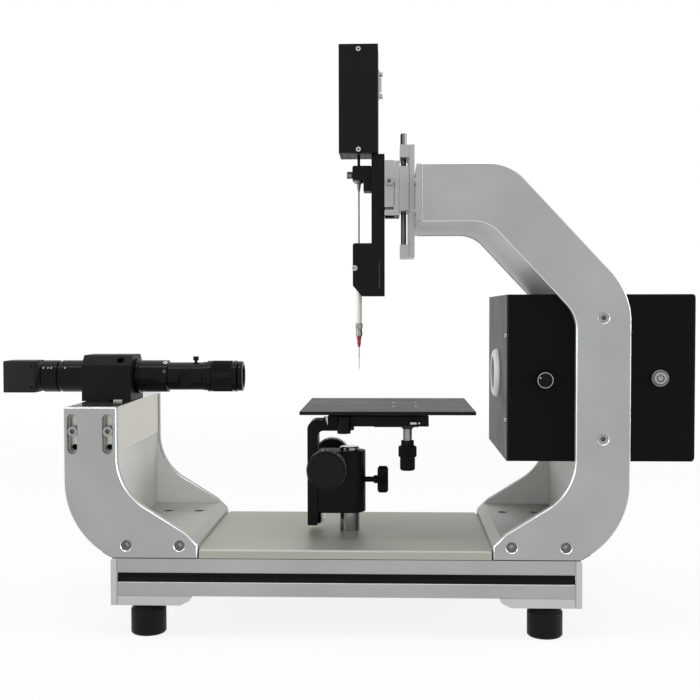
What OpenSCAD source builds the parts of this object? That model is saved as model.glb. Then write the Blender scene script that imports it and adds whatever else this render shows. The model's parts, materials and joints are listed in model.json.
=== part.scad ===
// Contact angle goniometer: a bench instrument with a camera, a lifting stage, a syringe dispenser and a light box.
// X runs from the camera to the light box, Y from front to back, Z up. The origin is under the middle of its box.

/* [Base] */
// Length of the base over its end plates
base_l = 397; // [390:1:420]
// Depth of the base, the bracket and the column
base_d = 180; // [176:1:200]
// Middle of the base from the origin
base_x = 11.5; // [0:0.5:20]
// Height of the hollow base extrusion
profile_h = 32; // [28:1:40]
// Wall of the base extrusion
profile_wall = 3.5; // [2.5:0.5:4.5]
// Mouth of the T-slots in the front and rear of the base
slot_mouth = 8; // [6:0.5:10]
// Thickness of the two end plates
end_t = 6; // [4:0.5:8]
// Thickness of the base top plate
deck_t = 8; // [6:0.5:10]
// Gap between the top plate and the stands beside it
deck_gap = 1.5; // [0.5:0.5:3]
// Thickness of the two bars that carry the feet
bar_t = 8; // [8:0.5:12]
// Length of the two bars that carry the feet
bar_l = 63; // [50:1:75]

/* [Feet] */
// Height of a levelling foot
foot_h = 27; // [24:1:34]
// Diameter of a levelling foot
foot_d = 30; // [24:1:36]
// Middle of a foot from the base's end
foot_edge_x = 29; // [24:1:34]
// Middle of a foot from the base's front or rear
foot_edge_y = 16; // [15:1:40]
// Diameter of a foot's stud
stud_d = 8; // [6:1:10]

/* [Bracket and column] */
// Thickness of the front and rear plates
plate_t = 8; // [8:0.5:10]
// Distance from the middle of the base to the outer faces
stand_out = 237.5; // [234:0.5:240]
// Width of the upright plates
stand_w = 45; // [44:0.5:48]
// Distance from the middle of the base to the toes
stand_toe = 124.5; // [118:0.5:130]
// Height of a toe's end face
toe_h = 11.5; // [9:0.5:14]
// Chamfer at a toe's tip
toe_chamfer = 10.2; // [8:0.2:12]
// Slope of a toe's upper edge
toe_angle = 32; // [29:1:34]
// Radius where the toe meets the upright
inner_r = 50; // [40:1:55]
// Radius of the outer curve
outer_r = 72; // [70:1:76]
// Height of the outer curve's centre above the base
outer_rise = 65; // [62:1:68]
// Height of the foot blocks between the plates
foot_block_h = 18; // [16:0.5:20]
// Thickness of the webs and skins between the plates
web_t = 2.2; // [2:0.1:2.6]
// How far the flat inner webs lie behind the plates' edges
web_inset = 2; // [1.5:0.1:2.2]
// How far the skins lie behind the plates' edges
skin_inset = 0.6; // [0.2:0.1:1]
// Height of the camera bracket above the base
bracket_h = 128; // [122:1:134]
// Height of the arm's top above the base
column_h = 331; // [325:1:340]
// Height of the arm
arm_h = 48; // [44:1:52]
// Left end of the arm's plates from the origin
arm_x = 75.7; // [74:0.1:80]
// Thickness of the arm's end plate
arm_plate_t = 4; // [3:0.5:6]
// Height of the column's outer knee above the base
outer_knee_z = 223.3; // [220:0.5:228]
// Outer knee of the arm from the middle of the base
outer_knee_u = 137.1; // [134:0.5:140]
// Height of the column's inner knee above the base
inner_knee_z = 205.2; // [203:0.5:209]
// Inner knee of the arm from the middle of the base
inner_knee_u = 119.8; // [117:0.5:122]

/* [Screws] */
// Head diameter of the frame screws
head_d = 8.5; // [8:0.5:10]
// Head height of the frame screws
head_h = 5; // [4:0.5:5.5]
// Thread diameter of the frame screws
thread_d = 5; // [4:0.5:6]
// Clearance round a screw in its hole
screw_gap = 0.2; // [0.1:0.05:0.3]

/* [Light box] */
// Length of the light box over its end panels
light_l = 156.4; // [150:0.1:160]
// Height of the light box
light_h = 140; // [134:1:146]
// Left face of the light box from the origin
light_x = 147.4; // [146:0.1:152]
// Height of the light's axis above the base
light_up = 152.5; // [148:0.5:156]
// Wall of the light box sleeve
light_wall = 4; // [3:0.5:6]
// Thickness of the end panels
panel_t = 1.5; // [1.5:0.5:3]
// Outer diameter of the diffuser ring
ring_d = 44; // [40:1:50]
// Opening of the diffuser ring
ring_hole = 26; // [20:1:30]
// How far the ring bulges out
ring_bulge = 4.5; // [3:0.5:5]
// Side of the square LED board
board_w = 96; // [70:2:110]
// Distance of the LED board behind the left panel
board_gap = 8; // [6:0.5:14]
// Diameter of the dimmer knob
dimmer_d = 13.4; // [11:0.1:16]
// Distance of the dimmer knob from the left face
dimmer_x = 31.4; // [25:0.2:45]
// Distance of the power button from the right face
button_x = 29.4; // [22:0.2:40]
// Diameter of the power button
button_d = 10.5; // [9:0.5:13]
// Travel of the power button
button_travel = 1.5; // [1:0.1:2]

/* [Camera and lens] */
// Height of the camera mount block
mount_h = 39.4; // [36:0.2:42]
// Height of the lens axis above the mount block
axis_up = 21.4; // [19:0.2:24]
// Width of the slots' outer step
slot_w = 9; // [8.6:0.1:10]
// Length of the slots
slot_l = 34; // [30:0.5:38]
// Distance of the slots from the plates' edges
slot_edge = 7.5; // [6.5:0.5:9]
// Length of the lens holder
holder_l = 44.5; // [40:0.5:48]
// Depth of the lens holder
holder_d = 50; // [44:1:56]
// Height of the lens holder
holder_h = 41.4; // [38:0.2:44]
// Side of the camera's square body
camera_w = 29; // [27:0.5:32]
// Length of the camera's body
camera_l = 29.3; // [27:0.1:34]
// Diameter of the tube between the camera and the lens
tube_d = 29.4; // [27:0.1:31]
// Free length of that tube
tube_l = 41.5; // [36:0.5:46]
// Length of the lens's rear section
lens_rear_l = 26.4; // [22:0.2:30]
// Length of the lens's middle section
lens_mid_l = 31; // [26:0.5:36]
// Diameter of the lens's middle section
lens_mid_d = 25.5; // [24:0.1:28]
// Length of the zoom ring
zoom_l = 32.6; // [26:0.2:38]
// Diameter of the zoom ring
zoom_d = 28.5; // [26:0.1:31]
// Length of the lens's front rim
nose_l = 4.6; // [4:0.1:8]

/* [Focus unit] */
// Stage post from the middle of the base
post_u = 1.1; // [0:0.1:4]
// Diameter of the stage post
post_d = 18; // [16:0.5:18.5]
// Height of the stage post above the top plate
post_h = 77; // [74:1:90]
// Height of the focus block
block_h = 56; // [52:0.5:60]
// Height of the focus block's underside above the top plate
block_up = 17.5; // [15:0.5:19]
// Wall of the focus block round the post
block_wall = 5.6; // [5:0.2:8]
// Distance of the pinion shaft from the post
pinion_off = 18.6; // [17:0.2:21]
// Height of the pinion shaft above the block's underside
pinion_up = 44.5; // [41:0.5:46]
// Tooth module of the rack and pinion
tooth_m = 0.8; // [0.7:0.05:0.9]
// Teeth of the pinion
pinion_n = 12; // [10:1:13]
// Diameter of the pinion shaft
shaft_d = 6; // [4:0.5:6]
// Diameter of the focus knobs
focus_d = 35; // [30:1:40]
// Thickness of the focus knobs
focus_t = 14; // [10:0.5:18]
// Distance between the focus knobs' outer faces
focus_span = 114; // [106:1:124]
// Diameter of the clamp knob
clamp_d = 24.5; // [18:0.5:28]
// Height of the clamp knob above the block's underside
clamp_up = 29; // [22:0.5:34]

/* [Lift bracket] */
// Thickness of the lift bracket's upright
lift_t = 9.3; // [8:0.1:11]
// Depth of the lift bracket
lift_d = 30; // [26:0.5:34]
// Height of the lift bracket's foot above the top plate
lift_up = 6.3; // [5.5:0.1:8]
// Height of the lift bracket
lift_h = 95.5; // [92:0.5:100]
// Length of the rack
rack_l = 66; // [60:1:72]

/* [Stage] */
// Width and depth of the stage plate
stage_w = 150; // [130:1:156]
// Thickness of the stage plate
stage_t = 3; // [2:0.5:4]
// Middle of the stage from the post
stage_off = 35; // [32:0.5:38]
// Width of the saddle
saddle_w = 89; // [86:0.5:96]
// Depth of the saddle
saddle_d = 80; // [72:1:90]
// Drive shaft from the saddle's right face
drive_off = 18.4; // [17:0.2:22]
// Diameter of the Y drive ring
ring_knob_d = 16.4; // [14:0.2:20]
// Diameter of the X drive knob
drive_knob_d = 13.5; // [11:0.1:16]

/* [Dispenser] */
// Length of the height slide's rail
rail_l = 100.4; // [98:0.2:108]
// Depth of the height slide
rail_d = 40; // [34:1:46]
// Thickness of the rail plate
rail_t = 4.6; // [4:0.2:7]
// Height of the rail's end blocks
rail_end = 11.4; // [9:0.2:14]
// Diameter of the height screw
screw_d = 5; // [4:0.2:5.6]
// Thickness of the height carriage's nut block
nut_t = 8.4; // [8:0.1:9]
// Height of the nut block
nut_h = 39.6; // [34:0.2:44]
// Thickness of the carriage plate
carriage_t = 4.6; // [4:0.2:7]
// Thickness of the Y slide plate
slide_t = 8.6; // [8:0.1:10]
// Height of the Y slide plate
slide_h = 41.8; // [38:0.2:46]
// Thickness of the backbone
spine_t = 11.8; // [10:0.2:14]
// Depth of the backbone
spine_d = 30; // [24:1:36]
// Height of the backbone
spine_h = 127.4; // [122:0.2:136]
// Reach of the syringe seat beyond the backbone
seat_reach = 16.9; // [15:0.1:20]
// Height of the syringe seat
seat_h = 47.6; // [40:0.2:52]
// Width of the pump housing
pump_w = 35.1; // [33:0.1:40]
// Depth of the pump housing
pump_d = 42; // [36:1:48]
// Height of the pump housing
pump_h = 96.6; // [88:0.2:110]
// Wall of the pump housing
pump_wall = 2; // [1.5:0.5:2.5]
// Needle axis from the backbone's face
needle_off = 11.7; // [10.5:0.1:12.5]
// Outer diameter of the syringe barrel
barrel_d = 5.3; // [4.6:0.1:6]
// Length of the syringe barrel
barrel_l = 71; // [64:1:78]
// Length of the needle below its hub
needle_l = 20; // [15:0.5:22]

/* [Hidden] */

// Fits: a shaft in its bore, a sliding pair, and flat faces that pass each other
run_fit = 0.12;
slide_gap = 0.3;
eps = 1;
round_fn = 64;
arc_steps = 16;

silver = "#a9adab";
warm_grey = "#a8a89c";
black = "#1d1d1f";
steel = "#c4c4c2";

// Heights of the base, from the bench up
z_bar = foot_h;
z_profile = z_bar + bar_t;
z_deck = z_profile + profile_h;
z_top = z_deck + deck_t;
half_d = base_d / 2;
foot_u = base_l / 2 - foot_edge_x;
foot_y = half_d - foot_edge_y;
inner_y = half_d - plate_t;
bar_u = base_l / 2 - end_t;
stand_in = stand_out - stand_w;

// Screws through the plates, as distances from the middle of the base and heights
toe_screw_z = z_deck + 11;
toe_screw_first = 15.3;
toe_screw_step = 45.2;
toe_screws = [for (i = [0, 1]) stand_toe + toe_screw_first + i * toe_screw_step];
counterbore = head_h + 1.4;
bore_rim = 0.6;
screw_l = 20;

// Light box
light_z = z_deck + light_up;
light_z0 = light_z - light_h / 2;
light_z1 = light_z + light_h / 2;
light_screw_u = stand_in + stand_w / 2;
light_screw_z = 50.4;
panel_screw_y = inner_y - light_wall / 2;
panel_screw_z = 35.5;
panel_screw_d = 2.5;
panel_screw_l = 6;
sleeve_x = light_x + panel_t;
sleeve_l = light_l - 2 * panel_t;
dimmer_shaft_d = 6;
dimmer_z = light_z - 1.5;
bezel_w = 1.6;
bezel_t = 2.5;

// Camera unit
bracket_top = z_deck + bracket_h;
mount_z = bracket_top - mount_h;
mount_drop = 14;
axis_z = bracket_top + axis_up;
slot_z = bracket_top - 22.5;
slot_step = 4.5;
slot_thread = 5;
slot_screw_z = bracket_top - 20.4;
holder_x = base_x - stand_in - 3 - holder_l;
tube_x = holder_x - tube_l;
camera_x = tube_x - camera_l - 4.5;
barrel_x = holder_x + holder_l;
flange_l = 4.5;
lens_mid_x = barrel_x + flange_l + lens_rear_l;
zoom_x = lens_mid_x + lens_mid_l;
zoom_bore = 22;
lock_d = 2.6;

// Focus unit
post_x = base_x + post_u;
block_z = z_top + block_up;
pinion_x = post_x - pinion_off;
pinion_z = block_z + pinion_up;
pitch_r = tooth_m * pinion_n / 2;
rack_x = pinion_x - pitch_r;
rack_root = 1.25 * tooth_m;
tooth_tip = 0.75 * tooth_m;
rack_back = 1.7;
rack_w = 8;
dovetail_t = 2.5;
lift_x = rack_x - rack_root - rack_back - dovetail_t;
lift_z = z_top + lift_up;
lift_top = lift_z + lift_h;
arm_t = 9.3;
arm_reach = 20;
boss_d = 19;
knob_gap = 0.5;
clamp_z = block_z + clamp_up;
clamp_thread = 5;
clamp_t = 9.8;

// Stage
stage_x = post_x + stage_off;
saddle_x = stage_x - 8.3 - saddle_w / 2;
saddle_z = lift_top + slide_gap;
saddle_t = 6.1;
skirt_h = 3;
skirt_t = 3;
tongue_t = 2.6;
tongue_off = 59;
tongue_x = saddle_x + tongue_off;
way_off = 45;
way_x = saddle_x + way_off;
way_w = 20;
way_h = 3.2;
way_flare = 2;
x_way_w = 24;
x_slide_l = 84;
x_slide_t = 3.9;
slide_z = saddle_z + saddle_t + slide_gap;
stage_z = slide_z + x_slide_t;
drive_x = saddle_x + saddle_w - drive_off;
drive_y = -20;
drive_z = lift_top - 4.3;
drive_rod = 4;
drive_tube = 8;
ring_top = drive_z - 12.8;
ring_z = ring_top - 14.8;

// Dispenser: from the arm's end plate to the left
rail_x = arm_x - arm_plate_t - rail_t;
rail_z = z_deck + column_h - arm_h / 2;
nut_x = rail_x - slide_gap - nut_t;
carriage_x = nut_x - carriage_t;
seam = 0.4;
slide_x = carriage_x - slide_gap - slide_t;
spine_x = slide_x - spine_t;
needle_x = spine_x - needle_off;
screw_x = rail_x - 5;
nut_z = rail_z + 11.3;
slide_mid_z = nut_z + 4.3;
dovetail_z = slide_mid_z - 11;
y_screw_z = slide_mid_z + 1.7;
y_screw_d = 4;
slide_travel = 6;
slide_wall = 2.5;
spine_z = nut_z + 31.5;
seat_z = spine_z - spine_h;
seat_x = spine_x - seat_reach;
flange_t = 4;
pump_x = needle_x - 17.3;
groove_w = 8;
groove_t = 5;
carriage_top = spine_z - 9.8;
carriage_h = 12.6;
leg_h = 22.9;
thumb_drop = 7.5;
thumb_off = 5.6;
rod_up = 72;
piston_up = 44;
clamp_drop = 22.5;
rod_d = 2.6;
plunger_d = 1.5;
barrel_top = seat_z + seat_h - 1;
barrel_z = barrel_top - barrel_l;
luer_h = 11.9;
hub_h = 10;

// Points of an arc round a centre
function arc(c, r, a0, a1, n = arc_steps) =
    [for (i = [0:n]) c + r * [cos(a0 + (a1 - a0) * i / n), sin(a0 + (a1 - a0) * i / n)]];

// First two numbers of a corner, and the direction between two corners
function flat(p) = [p[0], p[1]];
function unit(a, b) = (b - a) / norm(b - a);

// Points of one corner of an outline, rounded by the radius that is its third number
function corner(a, p, b) =
    p[2] == 0 ? [flat(p)] :
    let (u = unit(flat(p), flat(a)))
    let (v = unit(flat(p), flat(b)))
    let (half = acos(u * v) / 2)
    let (c = flat(p) + (u + v) / norm(u + v) * p[2] / sin(half))
    let (s = flat(p) + u * p[2] / tan(half) - c)
    let (e = flat(p) + v * p[2] / tan(half) - c)
    let (a0 = atan2(s[1], s[0]))
    let (turn = atan2(s[0] * e[1] - s[1] * e[0], s * e))
    arc(c, p[2], a0, a0 + turn);

// A closed outline and an open path with their corners rounded
function rounded(path) =
    let (n = len(path))
    [for (i = [0:n - 1]) each corner(path[(i + n - 1) % n], path[i], path[(i + 1) % n])];
function rounded_open(path) =
    let (n = len(path))
    concat([flat(path[0])],
        [for (i = [1:n - 2]) each corner(path[i - 1], path[i], path[i + 1])],
        [flat(path[n - 1])]);

// An open path moved to its left by a distance
function left_of(v) = [-v[1], v[0]];
function shifted(path, d) =
    let (n = len(path))
    [for (i = [0:n - 1])
        let (t1 = unit(flat(path[max(i - 1, 0)]), flat(path[max(i, 1)])))
        let (t2 = unit(flat(path[min(i, n - 2)]), flat(path[min(i + 1, n - 1)])))
        let (n1 = left_of(t1))
        let (n2 = left_of(t2))
        let (p = flat(path[i]) + (n1 + n2) * d / (1 + n1 * n2))
        let (bend = t1[0] * t2[1] - t1[1] * t2[0])
        [p[0], p[1], path[i][2] == 0 ? 0 : path[i][2] - sign(bend) * d]];
function back_to_front(list) = [for (i = [len(list) - 1:-1:0]) list[i]];

// A strip that follows a path, between two distances to its left
module band(path, d0, d1) {
    polygon(concat(rounded_open(shifted(path, d0)), back_to_front(rounded_open(shifted(path, d1)))));
}

// Placing: outlines drawn in X and Z or in Y and Z, and cylinders along an axis
module upright(y0, t) {
    translate([0, y0 + t, 0])
        rotate([90, 0, 0])
            linear_extrude(t)
                children();
}
module along_x(x0, l) {
    translate([x0, 0, 0])
        rotate([90, 0, 90])
            linear_extrude(l)
                children();
}
module rod_x(x0, y, z, l, d) {
    translate([x0, y, z])
        rotate([0, 90, 0])
            cylinder(h = l, d = d, $fn = round_fn);
}
module rod_y(x, y0, z, l, d) {
    translate([x, y0, z])
        rotate([-90, 0, 0])
            cylinder(h = l, d = d, $fn = round_fn);
}
module rod_z(x, y, z0, l, d) {
    translate([x, y, z0])
        cylinder(h = l, d = d, $fn = round_fn);
}
module turned_x(x0, z, points) {
    translate([x0, 0, z])
        rotate([0, 90, 0])
            rotate_extrude($fn = round_fn)
                polygon(points);
}
module turned_z(x, y, z0, points) {
    translate([x, y, z0])
        rotate_extrude($fn = round_fn)
            polygon(points);
}
module block(x0, x1, y0, y1, z0, z1) {
    translate([x0, y0, z0])
        cube([x1 - x0, y1 - y0, z1 - z0]);
}

// The bracket is the mirror image of the column's lower half about the middle of the base
module stand(side) {
    translate([base_x, 0, 0])
        mirror([side < 0 ? 1 : 0, 0, 0])
            children();
}

// A plate front and rear
module both_faces() {
    upright(-half_d, plate_t)
        children();
    upright(inner_y, plate_t)
        children();
}

// A rim with grip teeth, as an outline
module knurled(d, n, depth) {
    polygon([for (i = [0:2 * n - 1]) (d / 2 - (i % 2) * depth) * [cos(180 * i / n), sin(180 * i / n)]]);
}

// Outlines of the stands, from the middle of the base outwards
toe_z = z_deck + toe_h;
toe_path = [
    [stand_in, toe_z + toe_chamfer + (stand_in - stand_toe - toe_chamfer) * tan(toe_angle), inner_r],
    [stand_toe + toe_chamfer, toe_z + toe_chamfer, 0],
    [stand_toe, toe_z, 0],
    [stand_toe, z_deck, 0]];
curve_c = [stand_out - outer_r, z_deck + outer_rise];
curve_path = [for (p = arc(curve_c, outer_r, -asin(outer_rise / outer_r), 0)) [p[0], p[1], 0]];
arm_u = arm_x - base_x;
z_arm = z_deck + column_h;
outer_knees = [[stand_out, z_deck + outer_knee_z, 60], [outer_knee_u, z_arm, 40], [arm_u, z_arm, 0]];
inner_knees = [[arm_u, z_arm - arm_h, 0], [inner_knee_u, z_arm - arm_h, 30],
    [stand_in, z_deck + inner_knee_z, 30]];
bracket_path = concat([[stand_in, bracket_top, 0]], toe_path, curve_path, [[stand_out, bracket_top, 0]]);
column_path = concat(inner_knees, toe_path, curve_path, outer_knees);

// Slot with round ends, standing upright
module slot_shape(u, w) {
    polygon(concat(
        arc([u, slot_z + (slot_l - slot_w) / 2], w / 2, 0, 180),
        arc([u, slot_z - (slot_l - slot_w) / 2], w / 2, 180, 360)));
}
slot_us = [stand_in + slot_edge, stand_out - slot_edge];

// Socket screw along Z, head up, seated at zero
module socket_screw(hd, hh, td, l) {
    difference() {
        union() {
            cylinder(h = hh, d = hd, $fn = round_fn);
            translate([0, 0, -l])
                cylinder(h = l + eps, d = td, $fn = round_fn);
        }
        translate([0, 0, hh * 0.45])
            cylinder(h = hh, d = td * 0.9, $fn = 6);
    }
}

// Drilled hole of a plate's socket screw, from the plate's outer face inwards
module screw_bore(u, z) {
    bore = head_d + 2 * screw_gap;
    for (s = [-1, 1])
        translate([u, s * half_d, z])
            rotate([s * 90, 0, 0]) {
                translate([0, 0, -eps])
                    cylinder(h = counterbore + eps, d = bore, $fn = round_fn);
                translate([0, 0, -eps])
                    cylinder(h = bore_rim + eps, d1 = bore + 2 * (bore_rim + eps), d2 = bore,
                        $fn = round_fn);
                cylinder(h = plate_t + screw_l, d = thread_d + 2 * screw_gap, $fn = round_fn);
            }
}
module toe_bores() {
    for (u = toe_screws)
        screw_bore(u, toe_screw_z);
}
module light_bores() {
    for (z = [-1, 1])
        screw_bore(light_screw_u, light_z + z * light_screw_z);
}

// Vertical screws that hold a foot block on the base
block_screw_first = 20.5;
block_screw_step = 29.8;
block_screw_y = 37;
block_screws = [for (i = [0, 1]) [stand_toe + block_screw_first + i * block_screw_step, block_screw_y]];
block_head_d = 8.5;
block_thread_d = 5;
block_head_h = 5;

// Screws at the corners of the arm's end plate
arm_screw_y = half_d - 6;
arm_screw_zs = [z_arm - arm_h + 8, z_arm - 14.5];

module profile_section() {
    lip = 2.5;
    channel = 7;
    chamber_y = half_d - lip - channel - profile_wall;
    chambers = 5;
    chamber_w = (2 * chamber_y - (chambers - 1) * profile_wall) / chambers;
    difference() {
        translate([-half_d, 0])
            square([base_d, profile_h]);
        for (s = [-1, 1]) {
            translate([s * half_d, profile_h / 2])
                square([2 * (lip + eps), slot_mouth], center = true);
            translate([s * (half_d - lip - channel / 2), profile_h / 2])
                square([channel, slot_mouth + 6], center = true);
        }
        for (i = [0:chambers - 1])
            translate([-chamber_y + i * (chamber_w + profile_wall), profile_wall])
                square([chamber_w, profile_h - 2 * profile_wall]);
    }
}

module base_profile() {
    color(silver)
        along_x(base_x - bar_u, 2 * bar_u)
            translate([0, z_profile])
                profile_section();
}

module slot_strips() {
    color(black)
        for (s = [-1, 1])
            along_x(base_x - bar_u, 2 * bar_u)
                translate([s * half_d, z_profile + profile_h / 2]) {
                    w = slot_mouth / 2 - 0.1;
                    polygon([[-s * 0.5, -w], [-s * 0.5, 0.4], [-s * 1.2, 0.9], [-s * 1.2, 2.2],
                        [-s * 0.5, 2.7],
                        [-s * 0.5, w], [-s * 2.5, w], [-s * 2.5, w + 1.5], [-s * 4, w + 1.5],
                        [-s * 4, -w - 1.5], [-s * 2.5, -w - 1.5], [-s * 2.5, -w]]);
                }
}

module base_end_plates() {
    cut = 1.5;
    gap = 0.8;
    color(silver)
        for (s = [-1, 1])
            stand(s)
                difference() {
                    upright(-half_d, base_d)
                        polygon([[bar_u, z_bar], [bar_u + end_t, z_bar], [bar_u + end_t, z_deck - cut],
                            [bar_u + end_t - cut, z_deck], [bar_u, z_deck]]);
                    for (y = [-half_d, half_d])
                        block(bar_u - eps, bar_u + gap, y - gap, y + gap, z_bar - eps, z_deck + eps);
                }
}

module base_top_plate() {
    cut = 0.8;
    l = 2 * (stand_toe - deck_gap);
    color(warm_grey)
        difference() {
            union() {
                along_x(base_x - l / 2, l)
                    polygon([[-half_d, z_deck], [half_d, z_deck], [half_d, z_top - cut],
                        [half_d - cut, z_top],
                        [cut - half_d, z_top], [-half_d, z_top - cut]]);
                block(base_x - stand_toe, base_x + stand_toe, -inner_y, inner_y, z_deck, z_top);
            }
            rod_z(post_x, 0, z_deck - eps, deck_t + 2 * eps, post_d / 2 + 2 * screw_gap);
        }
}

module foot_bars() {
    color(silver)
        for (s = [-1, 1])
            stand(s)
                difference() {
                    upright(-half_d, base_d)
                        polygon([[bar_u, z_bar], [bar_u, z_profile], [bar_u - bar_l, z_profile],
                            [bar_u - bar_l + 2, z_bar + bar_t / 2], [bar_u - bar_l + 10, z_bar]]);
                    for (y = [-1, 1])
                        rod_z(foot_u, y * foot_y, z_bar - eps, bar_t + 2 * eps, stud_d + run_fit);
                }
}

module levelling_foot(sx, sy) {
    r = foot_d / 2;
    top = foot_h - slide_gap;
    color(black)
        turned_z(base_x + sx * foot_u, sy * foot_y, 0,
            [[0, 0], [r - 1.5, 0], [r, 1.5], [r, top - 5.5], [r - 1, top - 4.5], [r - 3, top],
                [stud_d / 2, top], [stud_d / 2, z_profile - slide_gap], [0, z_profile - slide_gap]]);
}

module foot_front_left() {
    levelling_foot(-1, -1);
}
module foot_front_right() {
    levelling_foot(1, -1);
}
module foot_rear_left() {
    levelling_foot(-1, 1);
}
module foot_rear_right() {
    levelling_foot(1, 1);
}

module bracket_plates() {
    color(silver)
        stand(-1)
            difference() {
                both_faces()
                    polygon(rounded(bracket_path));
                for (u = slot_us) {
                    upright(-half_d - eps, slot_step + eps)
                        slot_shape(u, slot_w);
                    upright(half_d - slot_step, slot_step + eps)
                        slot_shape(u, slot_w);
                    upright(-half_d - eps, base_d + 2 * eps)
                        slot_shape(u, slot_thread + 0.6);
                }
                toe_bores();
            }
}

module column_plates() {
    color(silver)
        stand(1)
            difference() {
                both_faces()
                    polygon(rounded(column_path));
                toe_bores();
                light_bores();
            }
}

module foot_blocks() {
    top = z_deck + foot_block_h;
    tip = foot_block_h - toe_h;
    color(silver)
        for (s = [-1, 1])
            stand(s)
                difference() {
                    upright(-inner_y, 2 * inner_y)
                        polygon([[stand_toe, z_deck], [stand_toe, toe_z], [stand_toe + tip, top],
                            [stand_in + web_inset, top], [stand_in + web_inset, z_deck]]);
                    toe_bores();
                    for (p = block_screws) {
                        rod_z(p[0], p[1], top - block_head_h - 1, block_head_h + 1 + eps,
                            block_head_d + 0.6);
                        rod_z(p[0], p[1], z_deck - eps, foot_block_h, block_thread_d + 2 * screw_gap);
                    }
                }
}

module inner_webs() {
    u0 = stand_in + web_inset;
    z0 = z_deck + 8;
    color(silver) {
        stand(1)
            block(u0, u0 + web_t, -inner_y, inner_y, z0, light_z0);
        stand(-1)
            block(u0, u0 + web_t, -inner_y, inner_y, z0, mount_z + 12);
    }
}

// Height range of the light box, where it passes through the column's webs and skins
module light_passage() {
    translate([0, light_z0])
        square([2 * stand_out, light_h]);
}

// Room of a foot block inside the outer skins
module block_passage() {
    translate([0, z_deck])
        square([stand_in + web_inset, foot_block_h]);
}

module arm_web() {
    color(silver)
        stand(1)
            upright(-inner_y, 2 * inner_y)
                difference() {
                    band(concat(inner_knees, [[stand_in, light_z, 0]]), skin_inset, skin_inset + web_t);
                    light_passage();
                }
}

module outer_skins() {
    color(silver) {
        stand(1)
            upright(-inner_y, 2 * inner_y)
                difference() {
                    band(concat(curve_path, outer_knees), skin_inset, skin_inset + web_t);
                    light_passage();
                    block_passage();
                }
        stand(-1)
            upright(-inner_y, 2 * inner_y)
                difference() {
                    band(concat(curve_path, [[stand_out, mount_z - mount_drop - 2, 0]]), skin_inset,
                        skin_inset + web_t);
                    block_passage();
                }
    }
}

module arm_end_plate() {
    color(silver)
        difference() {
            along_x(arm_x - arm_plate_t, arm_plate_t)
                polygon(rounded([[-half_d, z_arm - arm_h, 1], [half_d, z_arm - arm_h, 1],
                    [half_d, z_arm, 1],
                    [-half_d, z_arm, 1]]));
            for (y = [-1, 1], z = arm_screw_zs)
                rod_x(arm_x - arm_plate_t - eps, y * arm_screw_y, z,
                    arm_plate_t + 2 * eps, 3 + 2 * screw_gap);
        }
}

module plate_screw(u, z, l) {
    for (s = [-1, 1])
        translate([u, s * (half_d - counterbore), z])
            rotate([-s * 90, 0, 0])
                socket_screw(head_d, head_h, thread_d, l);
}

module frame_screws() {
    color(steel) {
        for (s = [-1, 1])
            stand(s) {
                for (u = toe_screws)
                    plate_screw(u, toe_screw_z, screw_l);
                for (p = block_screws)
                    translate([p[0], p[1], z_deck + foot_block_h - block_head_h - 1])
                        socket_screw(block_head_d, block_head_h, block_thread_d,
                            foot_block_h - block_head_h - 1);
            }
        stand(1)
            for (z = [-1, 1])
                plate_screw(light_screw_u, light_z + z * light_screw_z, plate_t - counterbore + light_wall);
        for (y = [-1, 1], z = arm_screw_zs)
            translate([arm_x - arm_plate_t, y * arm_screw_y, z])
                rotate([0, -90, 0])
                    socket_screw(5.5, 1.6, 3, arm_plate_t);
        for (z = [-1, 1])
            translate([light_x, -panel_screw_y, light_z + z * panel_screw_z])
                rotate([0, -90, 0])
                    socket_screw(4.5, 1.8, panel_screw_d, panel_screw_l);
    }
}

module light_outline(r, cut) {
    polygon(rounded([[cut - inner_y, light_z0 + cut, r], [inner_y - cut, light_z0 + cut, r],
        [inner_y - cut, light_z1 - cut, r], [cut - inner_y, light_z1 - cut, r]]));
}

module light_housing() {
    knob_x = light_x + dimmer_x;
    cap_x = light_x + light_l - button_x;
    color(black)
        difference() {
            union() {
                along_x(sleeve_x, sleeve_l)
                    difference() {
                        light_outline(1.5, 0);
                        light_outline(1, light_wall);
                    }
                rod_y(cap_x, -inner_y - bezel_t, light_z, bezel_t + eps,
                    button_d + 2 * bezel_w + 2 * slide_gap);
            }
            rod_y(cap_x, -inner_y - bezel_t - eps, light_z, bezel_t + light_wall + 2 * eps,
                button_d + 2 * slide_gap);
            rod_y(knob_x, -inner_y - eps, dimmer_z, light_wall + 2 * eps, dimmer_shaft_d + run_fit);
            panel_bores();
            stand(1)
                light_bores();
        }
}

// Drilled holes of the left panel's screws
module panel_bores() {
    for (z = [-1, 1])
        rod_x(light_x - eps, -panel_screw_y, light_z + z * panel_screw_z, panel_screw_l + 2 * eps,
            panel_screw_d + 2 * screw_gap);
}

module light_left_panel() {
    color(black)
        union() {
            difference() {
                along_x(light_x, panel_t)
                    light_outline(1.5, 0);
                rod_x(light_x - eps, 0, light_z, panel_t + 2 * eps, ring_hole + 4);
                panel_bores();
            }
            for (y = [-1, 1], z = [-1, 1])
                rod_x(light_x + panel_t / 2, y * (board_w / 2 - 5), light_z + z * (board_w / 2 - 5),
                    board_gap + panel_t / 2, 6);
        }
}

module light_right_panel() {
    jack_d = 8;
    x0 = light_x + light_l - panel_t;
    color(black)
        difference() {
            along_x(x0, panel_t)
                light_outline(4, 0.5);
            rod_x(x0 - eps, inner_y - 25, light_z0 + 25, panel_t + 2 * eps, jack_d);
        }
}

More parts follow.
